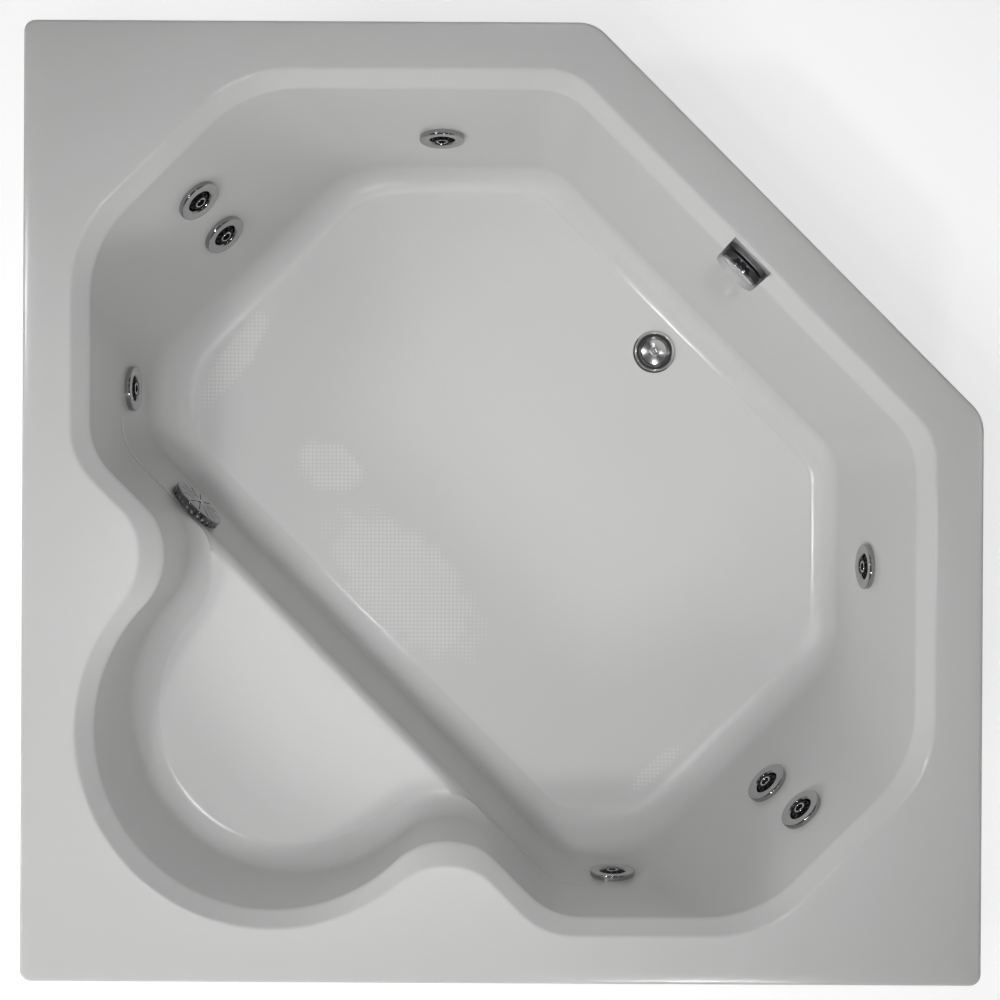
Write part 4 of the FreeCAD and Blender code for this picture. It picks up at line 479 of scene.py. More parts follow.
# Each wall: angle in degrees, rim distance, lean in degrees, floor fillet, radius of the corner after it
WALLS = [
    (0, SIDE_RIM, 12.5, 45.0, 115.0),
    (45, CUT_EDGE - DECK_WIDTH, 10.5, 50.0, 115.0),
    (90, SIDE_RIM, 12.5, 45.0, 200.0),
    (135, 782.0, 23.0, 65.0, 200.0),
    (180, SIDE_RIM, 9.0, 75.0, 115.0),
    (225, 437.0, 9.0, 50.0, 115.0),
    (270, SIDE_RIM, 9.0, 75.0, 200.0),
    (315, 782.0, 23.0, 65.0, 200.0),
]
RISER = 5
FLOOR_CORNER_SHARE, SMALLEST_CORNER = 0.85, 12.0
print(f"{len(WALLS)} walls, rim {SIDE_RIM:.0f} mm from the middle on the straight sides")

# %% [markdown]
# ### The slope of one wall
# Seen in section, a wall is the same everywhere: a small round at the deck, a sloped band, a soft crease,
# a leaning wall and a fillet into the floor. This helper gives the distance in from the rim at any depth.

# %% Section of a wall
BEVEL_SLOPE = math.atan2(BEVEL_DROP, BEVEL_RUN)


def inset(depth, lean_degrees, fillet, bottom):
    """Distance in from the rim line at a depth below the deck."""
    lean = math.radians(lean_degrees)
    if depth < RIM_ROUND * (1 - math.cos(BEVEL_SLOPE)):
        turn = math.acos(1 - depth / RIM_ROUND)
        return RIM_ROUND * (math.sin(turn) - math.tan(BEVEL_SLOPE / 2))
    reach = CREASE_ROUND * math.tan((math.pi / 2 - lean - BEVEL_SLOPE) / 2)
    start = BEVEL_DROP - reach * math.sin(BEVEL_SLOPE)
    if depth < start:
        return depth * BEVEL_RUN / BEVEL_DROP
    if depth < BEVEL_DROP + reach * math.cos(lean):
        centre_in = start * BEVEL_RUN / BEVEL_DROP - CREASE_ROUND * math.sin(BEVEL_SLOPE)
        rise = (start - depth) / CREASE_ROUND + math.cos(BEVEL_SLOPE)
        return centre_in + CREASE_ROUND * math.sqrt(1 - rise * rise)
    if depth > bottom - fillet * (1 - math.sin(lean)):
        straight = (bottom - fillet - BEVEL_DROP) * math.tan(lean)
        rise = min(1.0, 1 - (bottom - depth) / fillet)
        return BEVEL_RUN + straight + fillet / math.cos(lean) - fillet * math.sqrt(1 - rise * rise)
    return BEVEL_RUN + (depth - BEVEL_DROP) * math.tan(lean)


print("wall foot:", [round(inset(BASIN_DEPTH, wall[2], wall[3], BASIN_DEPTH)) for wall in WALLS], "mm in")

# %% [markdown]
# ### Spokes and outlines
# All spokes start at a hub between the middle and the seat, from which every part of the rim can be seen.
# A level outline of the basin is a polygon with round corners, so a spoke meets either a straight wall or
# a corner's arc, and both have a plain formula.

# %% Spokes from the hub
ACROSS = np.array([1.0, -1.0]) / math.sqrt(2)
ALONG = np.array([1.0, 1.0]) / math.sqrt(2)
HUB = np.array([-150.0, -150.0])
HUB_ALONG = float(HUB @ ALONG)
LEAST_FACING = 1e-6


def compass(degrees):
    """Unit vectors at angles from +X."""
    turn = np.radians(degrees)
    return np.stack([np.cos(turn), np.sin(turn)], axis=-1)


def spokes_to_outline(angles, reaches, corners, spokes):
    """Distance along each spoke to a polygon with round corners."""
    normals = compass(np.array(angles, float))
    reaches = np.array(reaches) - normals @ HUB
    facing = spokes @ normals.T
    lengths = reaches / np.maximum(facing, LEAST_FACING)
    away = np.where(facing > LEAST_FACING, lengths, np.inf).min(axis=1)
    for first, corner_radius in enumerate(corners):
        second = (first + 1) % len(angles)
        near, far = normals[first], normals[second]
        half = math.radians((angles[second] - angles[first]) % 360) / 2
        corner = np.linalg.solve(np.array([near, far]), np.array([reaches[first], reaches[second]]))
        middle = (near + far) / np.linalg.norm(near + far)
        centre = corner - middle * corner_radius / math.cos(half)
        along = spokes @ centre
        inside = along**2 - centre @ centre + corner_radius**2
        hit = along + np.sqrt(np.maximum(inside, 0))
        point = spokes * hit[:, None] - centre
        after_first = near[0] * point[:, 1] - near[1] * point[:, 0] >= 0
        before_second = point[:, 0] * far[1] - point[:, 1] * far[0] >= 0
        away = np.where((inside > 0) & after_first & before_second, hit, away)
    return away


# %% [markdown]
# ### Basin, seat and overflow pocket
# The basin's outline shrinks with depth as the walls lean in. The seat adds a round bay whose two deck
# noses curve back into the basin, and the overflow sits in an upright pocket in the wall of the cut corner.
# At each depth the hollow is the largest of the three.

# %% Basin outline at a depth
def basin_reach(depth, spokes, round_seat_front):
    """Spoke lengths to the basin wall; the riser's top edge can be rounded towards the seat."""
    reaches = []
    corners = []
    for _, rim, lean, fillet, corner in WALLS:
        into = inset(depth, lean, fillet, BASIN_DEPTH)
        wall_only = min(into, BEVEL_RUN + (depth - BEVEL_DROP) * math.tan(math.radians(lean)))
        shrink = 1 - (1 - FLOOR_CORNER_SHARE) * depth / BASIN_DEPTH
        reaches.append(rim - into)
        corners.append(max(SMALLEST_CORNER, corner * shrink - (into - wall_only)))
    if round_seat_front:
        reaches[RISER] += seat_front_gain(depth)
    return spokes_to_outline([wall[0] for wall in WALLS], reaches, corners, spokes)


def seat_front_gain(depth):
    """How far the rounded front edge of the seat reaches back beyond the plain riser."""
    below = depth - SEAT_DEPTH
    wide = math.pi / 2 - math.radians(WALLS[RISER][2])
    if below > SEAT_FRONT_ROUND * (1 - math.cos(wide)):
        return 0.0
    turn = math.acos(1 - below / SEAT_FRONT_ROUND)
    lean = math.tan(math.radians(WALLS[RISER][2]))
    return SEAT_FRONT_ROUND * (math.tan(wide / 2) - math.sin(turn)) + below * lean


# %% Seat bay and overflow pocket at a depth
SEAT_CENTRE, SEAT_RADIUS, SEAT_FILLET = 515.0, 313.0, 45.0
SEAT_SIDE_LEAN, SEAT_BACK_LEAN = 7.0, 20.5
NOSE_RADIUS, NOSE_OVERRUN = 120.0, 3.0
POCKET_BACK, POCKET_HALF, POCKET_DEPTH = CUT_EDGE - DECK_WIDTH - 4.0, 40.5, 72.0
LEAST_AHEAD = 0.1


def seat_reach(depth, spokes):
    """Spoke lengths to the seat bay: round back, then a nose on each side."""
    radius = SEAT_RADIUS - inset(depth, SEAT_SIDE_LEAN, SEAT_FILLET, SEAT_DEPTH)
    back = SEAT_CENTRE + SEAT_RADIUS - inset(depth, SEAT_BACK_LEAN, SEAT_FILLET, SEAT_DEPTH)
    _, riser_rim, riser_lean, riser_fillet, _ = WALLS[RISER]
    line = inset(depth, riser_lean, riser_fillet, BASIN_DEPTH) - riser_rim
    centre = radius - back
    nose_along = line + NOSE_OVERRUN - NOSE_RADIUS
    nose_across = math.sqrt((radius + NOSE_RADIUS) ** 2 - (nose_along - centre) ** 2)
    share = radius / (radius + NOSE_RADIUS)
    join = math.atan2(nose_across * share, HUB_ALONG - centre - (nose_along - centre) * share)
    end = math.atan2(nose_across, HUB_ALONG - line - NOSE_OVERRUN)
    side = np.abs(spokes @ ACROSS)
    ahead = spokes @ ALONG
    turn = np.arctan2(side, -ahead)
    to_centre = ahead * (centre - HUB_ALONG)
    bay = to_centre + np.sqrt(np.maximum(to_centre**2 - (centre - HUB_ALONG) ** 2 + radius**2, 0))
    to_nose = side * nose_across + ahead * (nose_along - HUB_ALONG)
    nose_square = nose_across**2 + (nose_along - HUB_ALONG) ** 2 - NOSE_RADIUS**2
    nose = to_nose - np.sqrt(np.maximum(to_nose**2 - nose_square, 0))
    return np.where(turn < join, bay, np.where(turn < end, nose, 0.0))


def pocket_reach(depth, spokes):
    """Spoke lengths to the flat back of the overflow pocket."""
    below = max(0.0, depth - POCKET_DEPTH)
    half = math.sqrt(max(0.0, POCKET_HALF**2 - below**2))
    ahead = spokes @ ALONG
    lengths = (POCKET_BACK - HUB_ALONG) / np.maximum(ahead, LEAST_AHEAD)
    back = np.where(ahead > LEAST_AHEAD, lengths, 0.0)
    return np.where(np.abs(back * (spokes @ ACROSS)) < half, back, 0.0)


# %% [markdown]
# ### Choosing the spokes
# Most spokes are evenly spread. A few more are set close together where the outline turns sharply: at the
# corners of the deck and at the two sides of the overflow pocket.

# %% Angles of the spokes
EVEN_SPOKES, CLOSEST_SPOKES = 360, 0.015
CUT_ANGLE = 45
POCKET_STEP, POCKET_SIDE_STEPS = 0.2, (-0.03, -0.01, 0.01, 0.03)


def spoke_angles():
    """Even spokes, with closer ones at the deck's corners and the pocket's sides."""
    angles = list(np.arange(EVEN_SPOKES) * 360 / EVEN_SPOKES)
    cut_side = math.sqrt(2) * CUT_EDGE - HALF_SIDE
    sharp = [(-HALF_SIDE, -HALF_SIDE), (HALF_SIDE, -HALF_SIDE), (-HALF_SIDE, HALF_SIDE)]
    blunt = [(HALF_SIDE, cut_side), (cut_side, HALF_SIDE)]
    for corners, spread, step in ((sharp, 1.3, 0.13), (blunt, 2.4, 0.24)):
        for x, y in corners:
            middle = math.degrees(math.atan2(y - HUB[1], x - HUB[0]))
            angles += list(np.arange(middle - spread, middle + spread, step))
    pocket = math.degrees(math.atan2(POCKET_HALF, POCKET_BACK - HUB_ALONG))
    for side in (-pocket, pocket):
        angles += [CUT_ANGLE + side + step for step in POCKET_SIDE_STEPS]
    angles += list(np.arange(CUT_ANGLE - pocket, CUT_ANGLE + pocket, POCKET_STEP))
    angles = np.unique(np.round(np.array(angles) % 360, 4))
    return angles[np.append(np.diff(angles) > CLOSEST_SPOKES, True)]


spokes = compass(spoke_angles())
print(f"{len(spokes)} spokes")

# %% [markdown]
# ### Rings from the floor to the lip
# Each ring is one radius and one depth per spoke. The rings crowd together in the fillets and rounds, where
# the sheet bends, and stand wide apart on the flats. The seat lies between the riser and the bay's outline.

# %% Depths of the rings
def round_steps(start, radius, count):
    """Depths that follow a quarter round upwards from its lowest point."""
    return [start - radius * (1 - math.cos(turn)) for turn in np.linspace(0, math.pi / 2, count)]


LARGEST_FILLET = max(wall[3] for wall in WALLS)
WALL_LOW, WALL_HIGH = 343, 217
LOWER_DEPTHS = round_steps(BASIN_DEPTH, LARGEST_FILLET, 13) + list(np.linspace(WALL_LOW, WALL_HIGH, 10))
LOWER_DEPTHS += [SEAT_DEPTH + below for below in (17, 13, 9.5, 6.5, 4, 2, 0.8, 0.1)]
UPPER_DEPTHS = round_steps(SEAT_DEPTH, SEAT_FILLET, 10) + [140, 130, 121]
UPPER_DEPTHS += list(POCKET_DEPTH + POCKET_HALF * np.sin(np.radians(np.arange(90, -1, -5)))) + [60, 49, 38]
UPPER_DEPTHS += [32, 29, 26, 23, 20, 16, 10, 5, 2.3, 1.5, 0.8, 0.3, 0.05, 0]
print(f"{len(LOWER_DEPTHS)} depths below the seat and {len(UPPER_DEPTHS)} from the seat to the deck")


def seat_outline(depth):
    """Spoke lengths at a depth above the seat."""
    around = np.maximum(basin_reach(depth, spokes, False), seat_reach(depth, spokes))
    return np.maximum(around, pocket_reach(depth, spokes))


# %% Rings of the sheet's upper face
DECK_ANGLES = [0, 45, 90, 180, 270]
DECK_CORNERS = [60.0, 60.0, 18.0, 18.0, 18.0]
DECK_EDGE, LIP_DROP = 5.0, 45.0


def deck_outline(inward):
    """Spoke lengths to the deck's edge, or to a line inside it."""
    reaches = [HALF_SIDE, CUT_EDGE, HALF_SIDE, HALF_SIDE, HALF_SIDE]
    corners = [corner - inward for corner in DECK_CORNERS]
    return spokes_to_outline(DECK_ANGLES, [reach - inward for reach in reaches], corners, spokes)


seat_edge = seat_outline(SEAT_DEPTH)
floor_edge = basin_reach(BASIN_DEPTH, spokes, True)
rings = [(floor_edge * share, BASIN_DEPTH) for share in (0.2, 0.45, 0.65, 0.8, 0.92)]
for depth in LOWER_DEPTHS:
    rings.append((np.minimum(basin_reach(depth, spokes, True), seat_edge), depth))
seat_front = rings[-1][0]
for share in np.linspace(0, 1, 14)[1:-1]:
    rings.append((seat_front + (seat_edge - seat_front) * share, SEAT_DEPTH))
for depth in UPPER_DEPTHS:
    rings.append((seat_outline(depth), depth))
rim = rings[-1][0]
flat_edge = deck_outline(DECK_EDGE)
for share in (0.15, 0.4, 0.7, 1.0):
    rings.append((rim + (flat_edge - rim) * share, 0.0))
for turn in np.radians([20, 40, 60, 80, 90]):
    rings.append((deck_outline(DECK_EDGE * (1 - math.sin(turn))), DECK_EDGE * (1 - math.cos(turn))))
rings.append((deck_outline(0.0), LIP_DROP))
print(f"{len(rings)} rings")

# %% [markdown]
# ### From rings to a sheet of acrylic
# The rings become a mesh of quads. Where there is no seat, the seat's rings fall on one another, so doubles
# are merged. A Solidify modifier then gives the sheet its thickness on the hidden side.

# %% Build the sheet
MERGE, DEGENERATE = 0.00002, 0.00001


def ring_mesh(name, rings):
    """Quads between neighbouring rings, with a fan at the hub."""
    count = len(spokes)
    points = [(HUB[0] * MM, HUB[1] * MM, (DECK_TOP - rings[0][1]) * MM)]
    for lengths, depth in rings:
        plan = (HUB + spokes * lengths[:, None]) * MM
        points += [(x, y, (DECK_TOP - depth) * MM) for x, y in plan]
    faces = [(0, 1 + spot, 1 + (spot + 1) % count) for spot in range(count)]
    for ring in range(len(rings) - 1):
        low = 1 + ring * count
        for spot in range(count):
            after = (spot + 1) % count
            faces.append((low + spot, low + count + spot, low + count + after, low + after))
    mesh = bpy.data.meshes.new(name)
    mesh.from_pydata(points, [], faces)
    work = bmesh.new()
    work.from_mesh(mesh)
    bmesh.ops.remove_doubles(work, verts=work.verts, dist=MERGE)
    bmesh.ops.dissolve_degenerate(work, edges=work.edges, dist=DEGENERATE)
    work.to_mesh(mesh)
    work.free()
    return mesh


tub_skin = bpy.data.objects.new("tub_skin", ring_mesh("tub_skin", rings))
scene.collection.objects.link(tub_skin)
thick = tub_skin.modifiers.new("sheet", "SOLIDIFY")
thick.thickness = SHEET * MM
thick.offset = -1
print(f"upper face of the sheet: {len(tub_skin.data.polygons)} faces")

# %% [markdown]
# ### Holes for the fittings
# A jet, the suction, the drain and the overflow each pass through the sheet. The joints in the frame say
# where the jets and the overflow point, so a drill for each is set along its axis. The suction's axis follows
# from the lean of its wall, and the drain's place from the stopper's box. One Boolean cuts all the holes, and
# the applied mesh is kept, so that the piece is one plain closed solid.

# %% Helpers that place a drill
JET_HOLE, SUCTION_HOLE, DRAIN_HOLE, OVERFLOW_HOLE = 28.0, 30.0, 25.0, 30.0
SUCTION_ACROSS, SUCTION_DEPTH = -356.0, 250.0
DRILL_LENGTH = 70.0
DRILL_SIDES = 48


def middle_of(node):
    """Middle of a CAD node's box."""
    low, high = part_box(node)
    return (low + high) / 2


def stand_on(point, axis):
    """Placing with its origin at a point and its Z along an axis."""
    return Matrix.Translation(point) @ Vector(axis).to_track_quat("Z", "Y").to_matrix().to_4x4()


def add_drill(work, point, axis, radius):
    """Adds one cylinder to the drill mesh."""
    bmesh.ops.create_cone(work, cap_ends=True, segments=DRILL_SIDES, radius1=radius * MM, radius2=radius * MM,
                          depth=DRILL_LENGTH * MM, matrix=stand_on(point, axis))


# %% Drill the sheet
JETS = range(1, 9)
joints = {joint["name"]: joint for joint in frame["joints"]}
lean = math.radians(WALLS[RISER][2])
suction_axis = Vector((*(ALONG * math.cos(lean)), math.sin(lean)))
riser_reach = WALLS[RISER][1] - inset(SUCTION_DEPTH, *WALLS[RISER][2:4], BASIN_DEPTH)
suction_point = Vector((*(ACROSS * SUCTION_ACROSS - ALONG * riser_reach), DECK_TOP - SUCTION_DEPTH)) * MM
drills = bmesh.new()
for number in JETS:
    jet = joints[f"ring_turn_{number}"]
    add_drill(drills, Vector(jet["pos_m"]), jet["axis"], JET_HOLE)
add_drill(drills, Vector(joints["overflow_turn"]["pos_m"]), joints["overflow_turn"]["axis"], OVERFLOW_HOLE)
add_drill(drills, suction_point, suction_axis, SUCTION_HOLE)
drain_middle = Vector((*middle_of("drain_stopper").xy, (DECK_TOP - BASIN_DEPTH) * MM))
add_drill(drills, drain_middle, (0, 0, 1), DRAIN_HOLE)
drill_mesh = bpy.data.meshes.new("drills")
drills.to_mesh(drill_mesh)
drills.free()
drill_tool = bpy.data.objects.new("drills", drill_mesh)
scene.collection.objects.link(drill_tool)
cut = tub_skin.modifiers.new("holes", "BOOLEAN")
cut.operation = "DIFFERENCE"
cut.solver = "MANIFOLD"
cut.object = drill_tool
print(f"holes for {len(JETS)} jets, the overflow, the suction and the drain")

# %% Keep the drilled sheet
SHARP_EDGE = math.radians(50)


def apply_modifiers(thing):
    """Replaces an object's mesh by its evaluated one."""
    shape = bpy.data.meshes.new_from_object(thing.evaluated_get(bpy.context.evaluated_depsgraph_get()))
    thing.modifiers.clear()
    thing.data = shape


bpy.context.view_layer.update()
apply_modifiers(tub_skin)
bpy.data.objects.remove(drill_tool)
for face in tub_skin.data.polygons:
    face.use_smooth = True
tub_skin.data.set_sharp_from_angle(angle=SHARP_EDGE)
tub_skin.data.materials.clear()
tub_skin.data.materials.append(acrylic)
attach(tub_skin, "tub")
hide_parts("tub_shell")
print(f"sheet: {len(tub_skin.data.polygons)} faces")

# %% [markdown]
# ## Tread on the floor
# The basin floor is moulded with a fine tread of small domes, so that wet feet hold. In the photograph it
# shows where the light falls on it: a large patch in front of the riser, a smaller one beside it, and a
# narrow one at the foot of each backrest. A bump map could fake the domes, but real ones catch the lamp each
# at its own point, so they are modelled: every dome of a square grid that lies in one of the patches goes
# into one mesh. The domes are very flat, because a flat dome mirrors the lamp over more of its top, and they
# shrink towards the edge of their patch, so that it fades out.

# %% Patches of the tread
TREAD_PITCH, DOME_RADIUS, DOME_HEIGHT = 6.8, 2.7, 0.2
DOME_SIDES = 10
EDGE_FADE, SMALLEST_DOME = 0.35, 0.25
RAGGED, RAGGED_X, RAGGED_Y, RAGGED_SWAY = 0.09, 9, 14, 2
# Each patch: middle x and y, half length, half width, angle of the length in degrees
TREAD_PATCHES = [
    (-300.0, 59.0, 72.0, 51.0, -20.0),
    (-168.0, -145.0, 196.0, 100.0, -45.0),
    (-464.0, 248.0, 120.0, 33.0, 55.0),
    (268.0, -461.0, 76.0, 16.0, 41.0),
]


def dome_share(x, y):
    """Size of the dome at a grid point: 1 inside a patch, less near its ragged edge, 0 outside."""
    ragged = 1 + RAGGED * math.sin(x / RAGGED_X + RAGGED_SWAY * math.cos(y / RAGGED_Y))
    share = 0.0
    for middle_x, middle_y, length, width, degrees in TREAD_PATCHES:
        turn = math.radians(degrees)
        along = (x - middle_x) * math.cos(turn) + (y - middle_y) * math.sin(turn)
        across = (y - middle_y) * math.cos(turn) - (x - middle_x) * math.sin(turn)
        inside = 1 - math.hypot(along / length, across / width) / ragged
        share = max(share, min(1.0, inside / EDGE_FADE))
    return share


# %% [markdown]
# ### Domes that climb the fillet
# At the backrests the tread runs a little way up the fillet. There each dome stands on the curve: its height
# and its tilt follow from how far it lies beyond the line where the floor ends.

# %% One dome
BACKREST = 3
STEEPEST = 0.5


def floor_place(x, y):
    """Placing on the floor, or on the fillet at the foot of a backrest."""
    _, rim, lean_degrees, fillet, _ = WALLS[BACKREST]
    far = x * ACROSS[0] + y * ACROSS[1]
    beyond = abs(far) - (rim - inset(BASIN_DEPTH, lean_degrees, fillet, BASIN_DEPTH))
    tilt = math.asin(min(STEEPEST, max(0.0, beyond / fillet)))
    rise = fillet * (1 - math.cos(tilt))
    inward = ACROSS * -math.copysign(math.sin(tilt), far)
    return stand_on(Vector((x, y, DECK_TOP - BASIN_DEPTH + rise)) * MM, (*inward, math.cos(tilt)))


def add_dome(work, place, size):
    """Low round dome of a relative size: three rings of points and a top, closed underneath."""
    rings = []
    for share in (1.0, 0.7, 0.35):
        reach = DOME_RADIUS * size * share * MM
        rise = DOME_HEIGHT * size * (1 - share**2) * MM
        turns = [2 * math.pi * step / DOME_SIDES for step in range(DOME_SIDES)]
        ring = [Vector((reach * math.cos(turn), reach * math.sin(turn), rise)) for turn in turns]
        rings.append([work.verts.new(place @ point) for point in ring])
    top = work.verts.new(place @ Vector((0, 0, DOME_HEIGHT * size * MM)))
    for step in range(DOME_SIDES):
        after = (step + 1) % DOME_SIDES
        for outer, inner in zip(rings, rings[1:]):
            work.faces.new((outer[step], outer[after], inner[after], inner[step]))
        work.faces.new((rings[-1][step], rings[-1][after], top))
    work.faces.new(reversed(rings[0]))


# %% Helper that keeps a mesh as a piece
def keep_mesh(work, name, material, body, sharp_degrees=35):
    """Turns a bmesh into a smooth piece that rides on a body."""
    bmesh.ops.recalc_face_normals(work, faces=work.faces)
    mesh = bpy.data.meshes.new(name)
    work.to_mesh(mesh)
    work.free()
    for face in mesh.polygons:
        face.use_smooth = True
    mesh.set_sharp_from_angle(angle=math.radians(sharp_degrees))
    mesh.materials.append(material)
    piece = bpy.data.objects.new(name, mesh)
    scene.collection.objects.link(piece)
    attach(piece, body)
    return piece


# %% Lay the tread
GRID = range(-90, 91)
tread = bmesh.new()
domes = 0
for row in GRID:
    for column in GRID:
        x, y = column * TREAD_PITCH, row * TREAD_PITCH
        share = dome_share(x, y)
        if share > SMALLEST_DOME:
            add_dome(tread, floor_place(x, y), share)
            domes += 1
# The domes get the paler acrylic: a painted highlight that makes each patch read as glinting
keep_mesh(tread, "floor_tread", tread_painted_highlight, "tub", 70)
print(f"{domes} domes")

# %% [markdown]
# ## Chrome fittings
# The fittings that show in this bath are round about an axis, as if turned on a lathe, so each can be drawn
# as half an outline and spun. The CAD solids have crisp corners; chrome shows its form by the light on its
# rounded corners, so the outlines here are softened first. One helper rounds an outline, another spins it
# into a mesh.

# %% Round an outline and spin it
LATHE_SIDES = 72
ROUND_POINTS, LONGEST_CUT = 5, 0.45
SPIN_MERGE, SPIN_DEGENERATE = 0.000002, 0.000001


def soften(outline, radius):
    """Rounds the corners of a closed outline, apart from those on the axis."""
    soft = []
    for spot, corner in enumerate(outline):
        corner = np.array(corner, float)
        back = np.array(outline[spot - 1], float) - corner
        ahead = np.array(outline[(spot + 1) % len(outline)], float) - corner
        if corner[0] == 0:
            soft.append(corner)
            continue
        cut = min(radius, LONGEST_CUT * np.linalg.norm(back), LONGEST_CUT * np.linalg.norm(ahead))
        start = corner + back / np.linalg.norm(back) * cut
        end = corner + ahead / np.linalg.norm(ahead) * cut
        for t in np.linspace(0, 1, ROUND_POINTS):
            soft.append(start * (1 - t) ** 2 + corner * 2 * t * (1 - t) + end * t**2)
    return soft


def spin(work, outline, place, sides=LATHE_SIDES):
    """Adds a solid of revolution: the outline gives radius and height in millimetres."""
    rings = []
    for radius, height in outline:
        ring = []
        for step in range(sides):
            turn = 2 * math.pi * step / sides
            point = Vector((radius * math.cos(turn), radius * math.sin(turn), height)) * MM
            ring.append(work.verts.new(place @ point))
        rings.append(ring)
    for spot, ring in enumerate(rings):
        after = rings[(spot + 1) % len(rings)]
        for step in range(sides):
            beside = (step + 1) % sides
            work.faces.new((ring[step], ring[beside], after[beside], after[step]))
    bmesh.ops.remove_doubles(work, verts=work.verts, dist=SPIN_MERGE)
    bmesh.ops.dissolve_degenerate(work, edges=work.edges, dist=SPIN_DEGENERATE)


# %% [markdown]
# ### Drain
# A chromed bead runs round the drain's flange, with a flank steep enough to mirror the pale walls. The
# stopper inside it has a shallow cone. A cone mirrors each lamp in one bright patch, and the photograph shows
# such patches between dark ones. Both are given a chrome painted paler than the other fittings': a painted
# highlight.

# %% Bead and stopper
BEAD_OUTLINE = [(36.9, 0.3), (36.9, 0.9), (32.4, 4.6), (31.4, 4.6), (30.8, 3.6), (30.8, 0.3)]
STOPPER_OUTLINE = [
    (0, -46), (4, -46), (4, -2), (22, -2), (22, 1.6), (8.2, 4.7), (7.4, 4.2), (5.2, 4.2), (5.2, 5.6),
    (7, 6.6), (6.6, 8.0), (3.4, 8.0), (2.4, 7.2), (0, 7.2),
]
BEAD_ROUND, STOPPER_ROUND = 0.6, 0.7
drain_place = Matrix.Translation(drain_middle)
bead = bmesh.new()
spin(bead, soften(BEAD_OUTLINE, BEAD_ROUND), drain_place)
# Bead and stopper get the paler chrome copy: a painted highlight
keep_mesh(bead, "drain_bead", chrome_painted_highlight, "tub")

stopper = bmesh.new()
spin(stopper, soften(STOPPER_OUTLINE, STOPPER_ROUND), drain_place)
stopper_dish = keep_mesh(stopper, "stopper_dish", chrome_painted_highlight, "stopper")
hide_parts("drain_stopper")
print(f"drain at {tuple(round(v, 3) for v in drain_middle)} m")

# %% [markdown]
# ### Overflow knob
# The knob that opens the drain is a drum with a domed cap. Its axis is the axis of the joint that turns it.
# The drum gets a darker copy of the cap's chrome, a painted shade for the dark ceiling that its top mirrors,
# so from above it is a dark band with a bright sliver in front.

# %% Drum and cap of the overflow
DRUM_OUTLINE = [
    (0, -20), (6, -20), (6, 11.2), (32, 11.2), (35.4, 12.4), (36, 16), (36, 24.5), (34.6, 26.6), (0, 26.6),
]
CAP_OUTLINE = [(0, 26), (33.8, 26), (33.8, 28.2), (26, 30.6), (13, 31.6), (0, 31.8)]
DRUM_ROUND, CAP_ROUND = 1.6, 1.2
overflow = joints["overflow_turn"]
knob_place = stand_on(Vector(overflow["pos_m"]), overflow["axis"])
drum = bmesh.new()
spin(drum, soften(DRUM_OUTLINE, DRUM_ROUND), knob_place)
# The drum gets the darkest chrome copy: painted shade
overflow_drum = keep_mesh(drum, "overflow_drum", chrome_painted_dark_shade, "knob")
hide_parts("overflow_knob")
cap = bmesh.new()
spin(cap, soften(CAP_OUTLINE, CAP_ROUND), knob_place)
keep_mesh(cap, "overflow_cap", chrome, "knob")
print(f"overflow knob at {tuple(round(v, 3) for v in knob_place.translation)} m")

# %% [markdown]
# ### Suction grille
# The pump draws its water through a round grille in the riser's wall, beside the seat. From above it is seen
# at a low angle, so its rim shows as a dark band with slots beside a narrowed face; its chrome is painted
# dark as well, a painted shade. The slots are cut by one Boolean with two rings of bars: short ones through
# the rim and long thin ones that lie like rays in the face.

# %% Grille with slots in its rim and face
GRILLE_OUTLINE = [
    (2.6, 0.4), (8, 0.4), (8, 13.0), (30, 12.8), (44, 12.2), (45.5, 10.8), (45.5, 0.4), (48.5, 0.4),
    (48.5, 13.8), (47.2, 15.2), (30, 15.8), (8, 16.0), (2.6, 16.0),
]
GRILLE_ROUND = 1.2
RIM_SLOTS, RIM_SLOT_MIDDLE, RIM_SLOT_SIZE = 26, (47.5, 0, 5.2), (8, 5.0, 6.0)
FACE_SLOTS, FACE_SLOT_MIDDLE, FACE_SLOT_SIZE = 12, (26.5, 0, 15), (27, 1.6, 9)


def add_bar(work, place, middle, size, turn):
    """Adds a box at a distance from the axis, turned about the axis."""
    spun = place @ Matrix.Rotation(turn, 4, "Z") @ Matrix.Translation(Vector(middle) * MM)
    stretch = Matrix.Diagonal((*(Vector(size) * MM), 1))
    bmesh.ops.create_cube(work, size=1.0, matrix=spun @ stretch)


# %% Cut the slots
suction_place = stand_on(suction_point, suction_axis)
grille = bmesh.new()
spin(grille, soften(GRILLE_OUTLINE, GRILLE_ROUND), suction_place)
# The grille gets the darkest chrome copy: painted shade, so its face blends into the riser
suction_grille = keep_mesh(grille, "suction_grille", chrome_painted_dark_shade, "tub")
bars = bmesh.new()
for number in range(RIM_SLOTS):
    turn = 2 * math.pi * number / RIM_SLOTS
    add_bar(bars, suction_place, RIM_SLOT_MIDDLE, RIM_SLOT_SIZE, turn)
for number in range(FACE_SLOTS):
    turn = 2 * math.pi * (number + 0.5) / FACE_SLOTS
    add_bar(bars, suction_place, FACE_SLOT_MIDDLE, FACE_SLOT_SIZE, turn)
bar_mesh = bpy.data.meshes.new("slot_bars")
bars.to_mesh(bar_mesh)
bars.free()
slot_bars = bpy.data.objects.new("slot_bars", bar_mesh)
scene.collection.objects.link(slot_bars)
slots = suction_grille.modifiers.new("slots", "BOOLEAN")
slots.operation = "DIFFERENCE"
slots.solver = "MANIFOLD"
slots.object = slot_bars
bpy.context.view_layer.update()
apply_modifiers(suction_grille)
bpy.data.objects.remove(slot_bars)
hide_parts("suction_cover")
print(f"grille: {len(suction_grille.data.polygons)} faces")

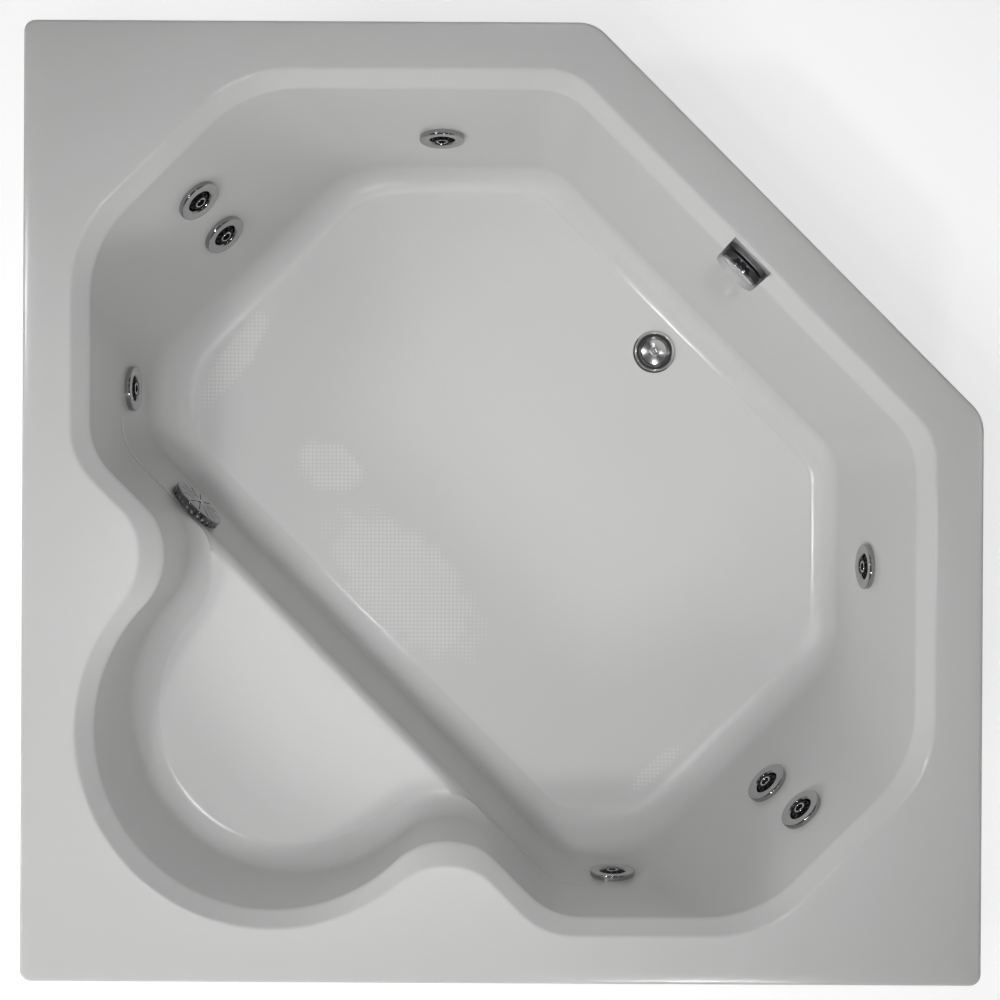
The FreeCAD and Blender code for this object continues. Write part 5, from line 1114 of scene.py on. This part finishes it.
# %% [markdown]
# ### Jet rings
# Each jet has a chromed ring that is turned by hand. Its face mirrors the pale basin floor and its chrome is
# painted darker than the other fittings', a painted shade, so it looks almost like the wall, while its edge
# mirrors the dark ceiling: that dark line with a glint is what tells of chrome. So the ring is spun again
# with a generous round on its edge.

# %% Rings with a rounded edge
RING_OUTLINE = [
    (20.1, -16), (21.9, -16), (21.9, 4.8), (36.3, 4.8), (36.3, 0.3), (37.5, 0.3), (37.5, 9.5), (23.4, 8.9),
    (20.1, 6),
]
RING_ROUND = 3.2
jet_places = {}
for number in JETS:
    jet = joints[f"ring_turn_{number}"]
    jet_places[number] = stand_on(Vector(jet["pos_m"]), jet["axis"])
    ring = bmesh.new()
    spin(ring, soften(RING_OUTLINE, RING_ROUND), jet_places[number])
    # The ring gets the darker chrome copy: painted shade
    jet_trim = keep_mesh(ring, f"jet_trim_{number}", chrome_painted_shade, f"ring_{number}", 50)
    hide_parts(f"jet_ring_{number}")
print(f"{len(jet_places)} jet rings")

# %% [markdown]
# ### Eyes of the jets
# The nozzle is black, with a ring of knobs to grip it by, and each knob catches a speck of light. Inside it a
# bright ring and a small pin on three vanes swirl the water. All of it rides on the nozzle, so it turns and
# tilts with it.

# %% Grip knobs, ring, pin and vanes of each nozzle
EYE_RING = [(7.2, 8.6), (9.2, 8.6), (9.3, 9.6), (8.6, 10.2), (7.7, 10.2), (7.2, 9.6)]
EYE_PIN = [(0, 1.0), (2.8, 1.0), (2.8, 5.0), (1.8, 6.4), (0, 6.8)]
GRIP_KNOB = [(0, 3.4), (2.5, 3.4), (2.5, 6.2), (1.7, 7.6), (0, 8.0)]
EYE_ROUND, KNOB_ROUND = 0.8, 0.9
GRIP_KNOBS, GRIP_CIRCLE, KNOB_SIDES = 9, 13.9, 14
VANES, VANE_MIDDLE, VANE_SIZE = 3, (4.9, 0, 3), (4.6, 1.0, 3.0)
for number, place in jet_places.items():
    eye = bmesh.new()
    spin(eye, soften(EYE_RING, EYE_ROUND), place)
    spin(eye, soften(EYE_PIN, EYE_ROUND), place)
    for vane in range(VANES):
        add_bar(eye, place, VANE_MIDDLE, VANE_SIZE, 2 * math.pi * vane / VANES)
    keep_mesh(eye, f"nozzle_eye_{number}", chrome, f"nozzle_{number}")
    grip = bmesh.new()
    for knob in range(GRIP_KNOBS):
        around = Matrix.Rotation(2 * math.pi * knob / GRIP_KNOBS, 4, "Z")
        grip_place = place @ around @ Matrix.Translation((GRIP_CIRCLE * MM, 0, 0))
        spin(grip, soften(GRIP_KNOB, KNOB_ROUND), grip_place, KNOB_SIDES)
    keep_mesh(grip, f"nozzle_grip_{number}", nozzle_dark, f"nozzle_{number}")
print(f"{len(jet_places)} jets dressed")
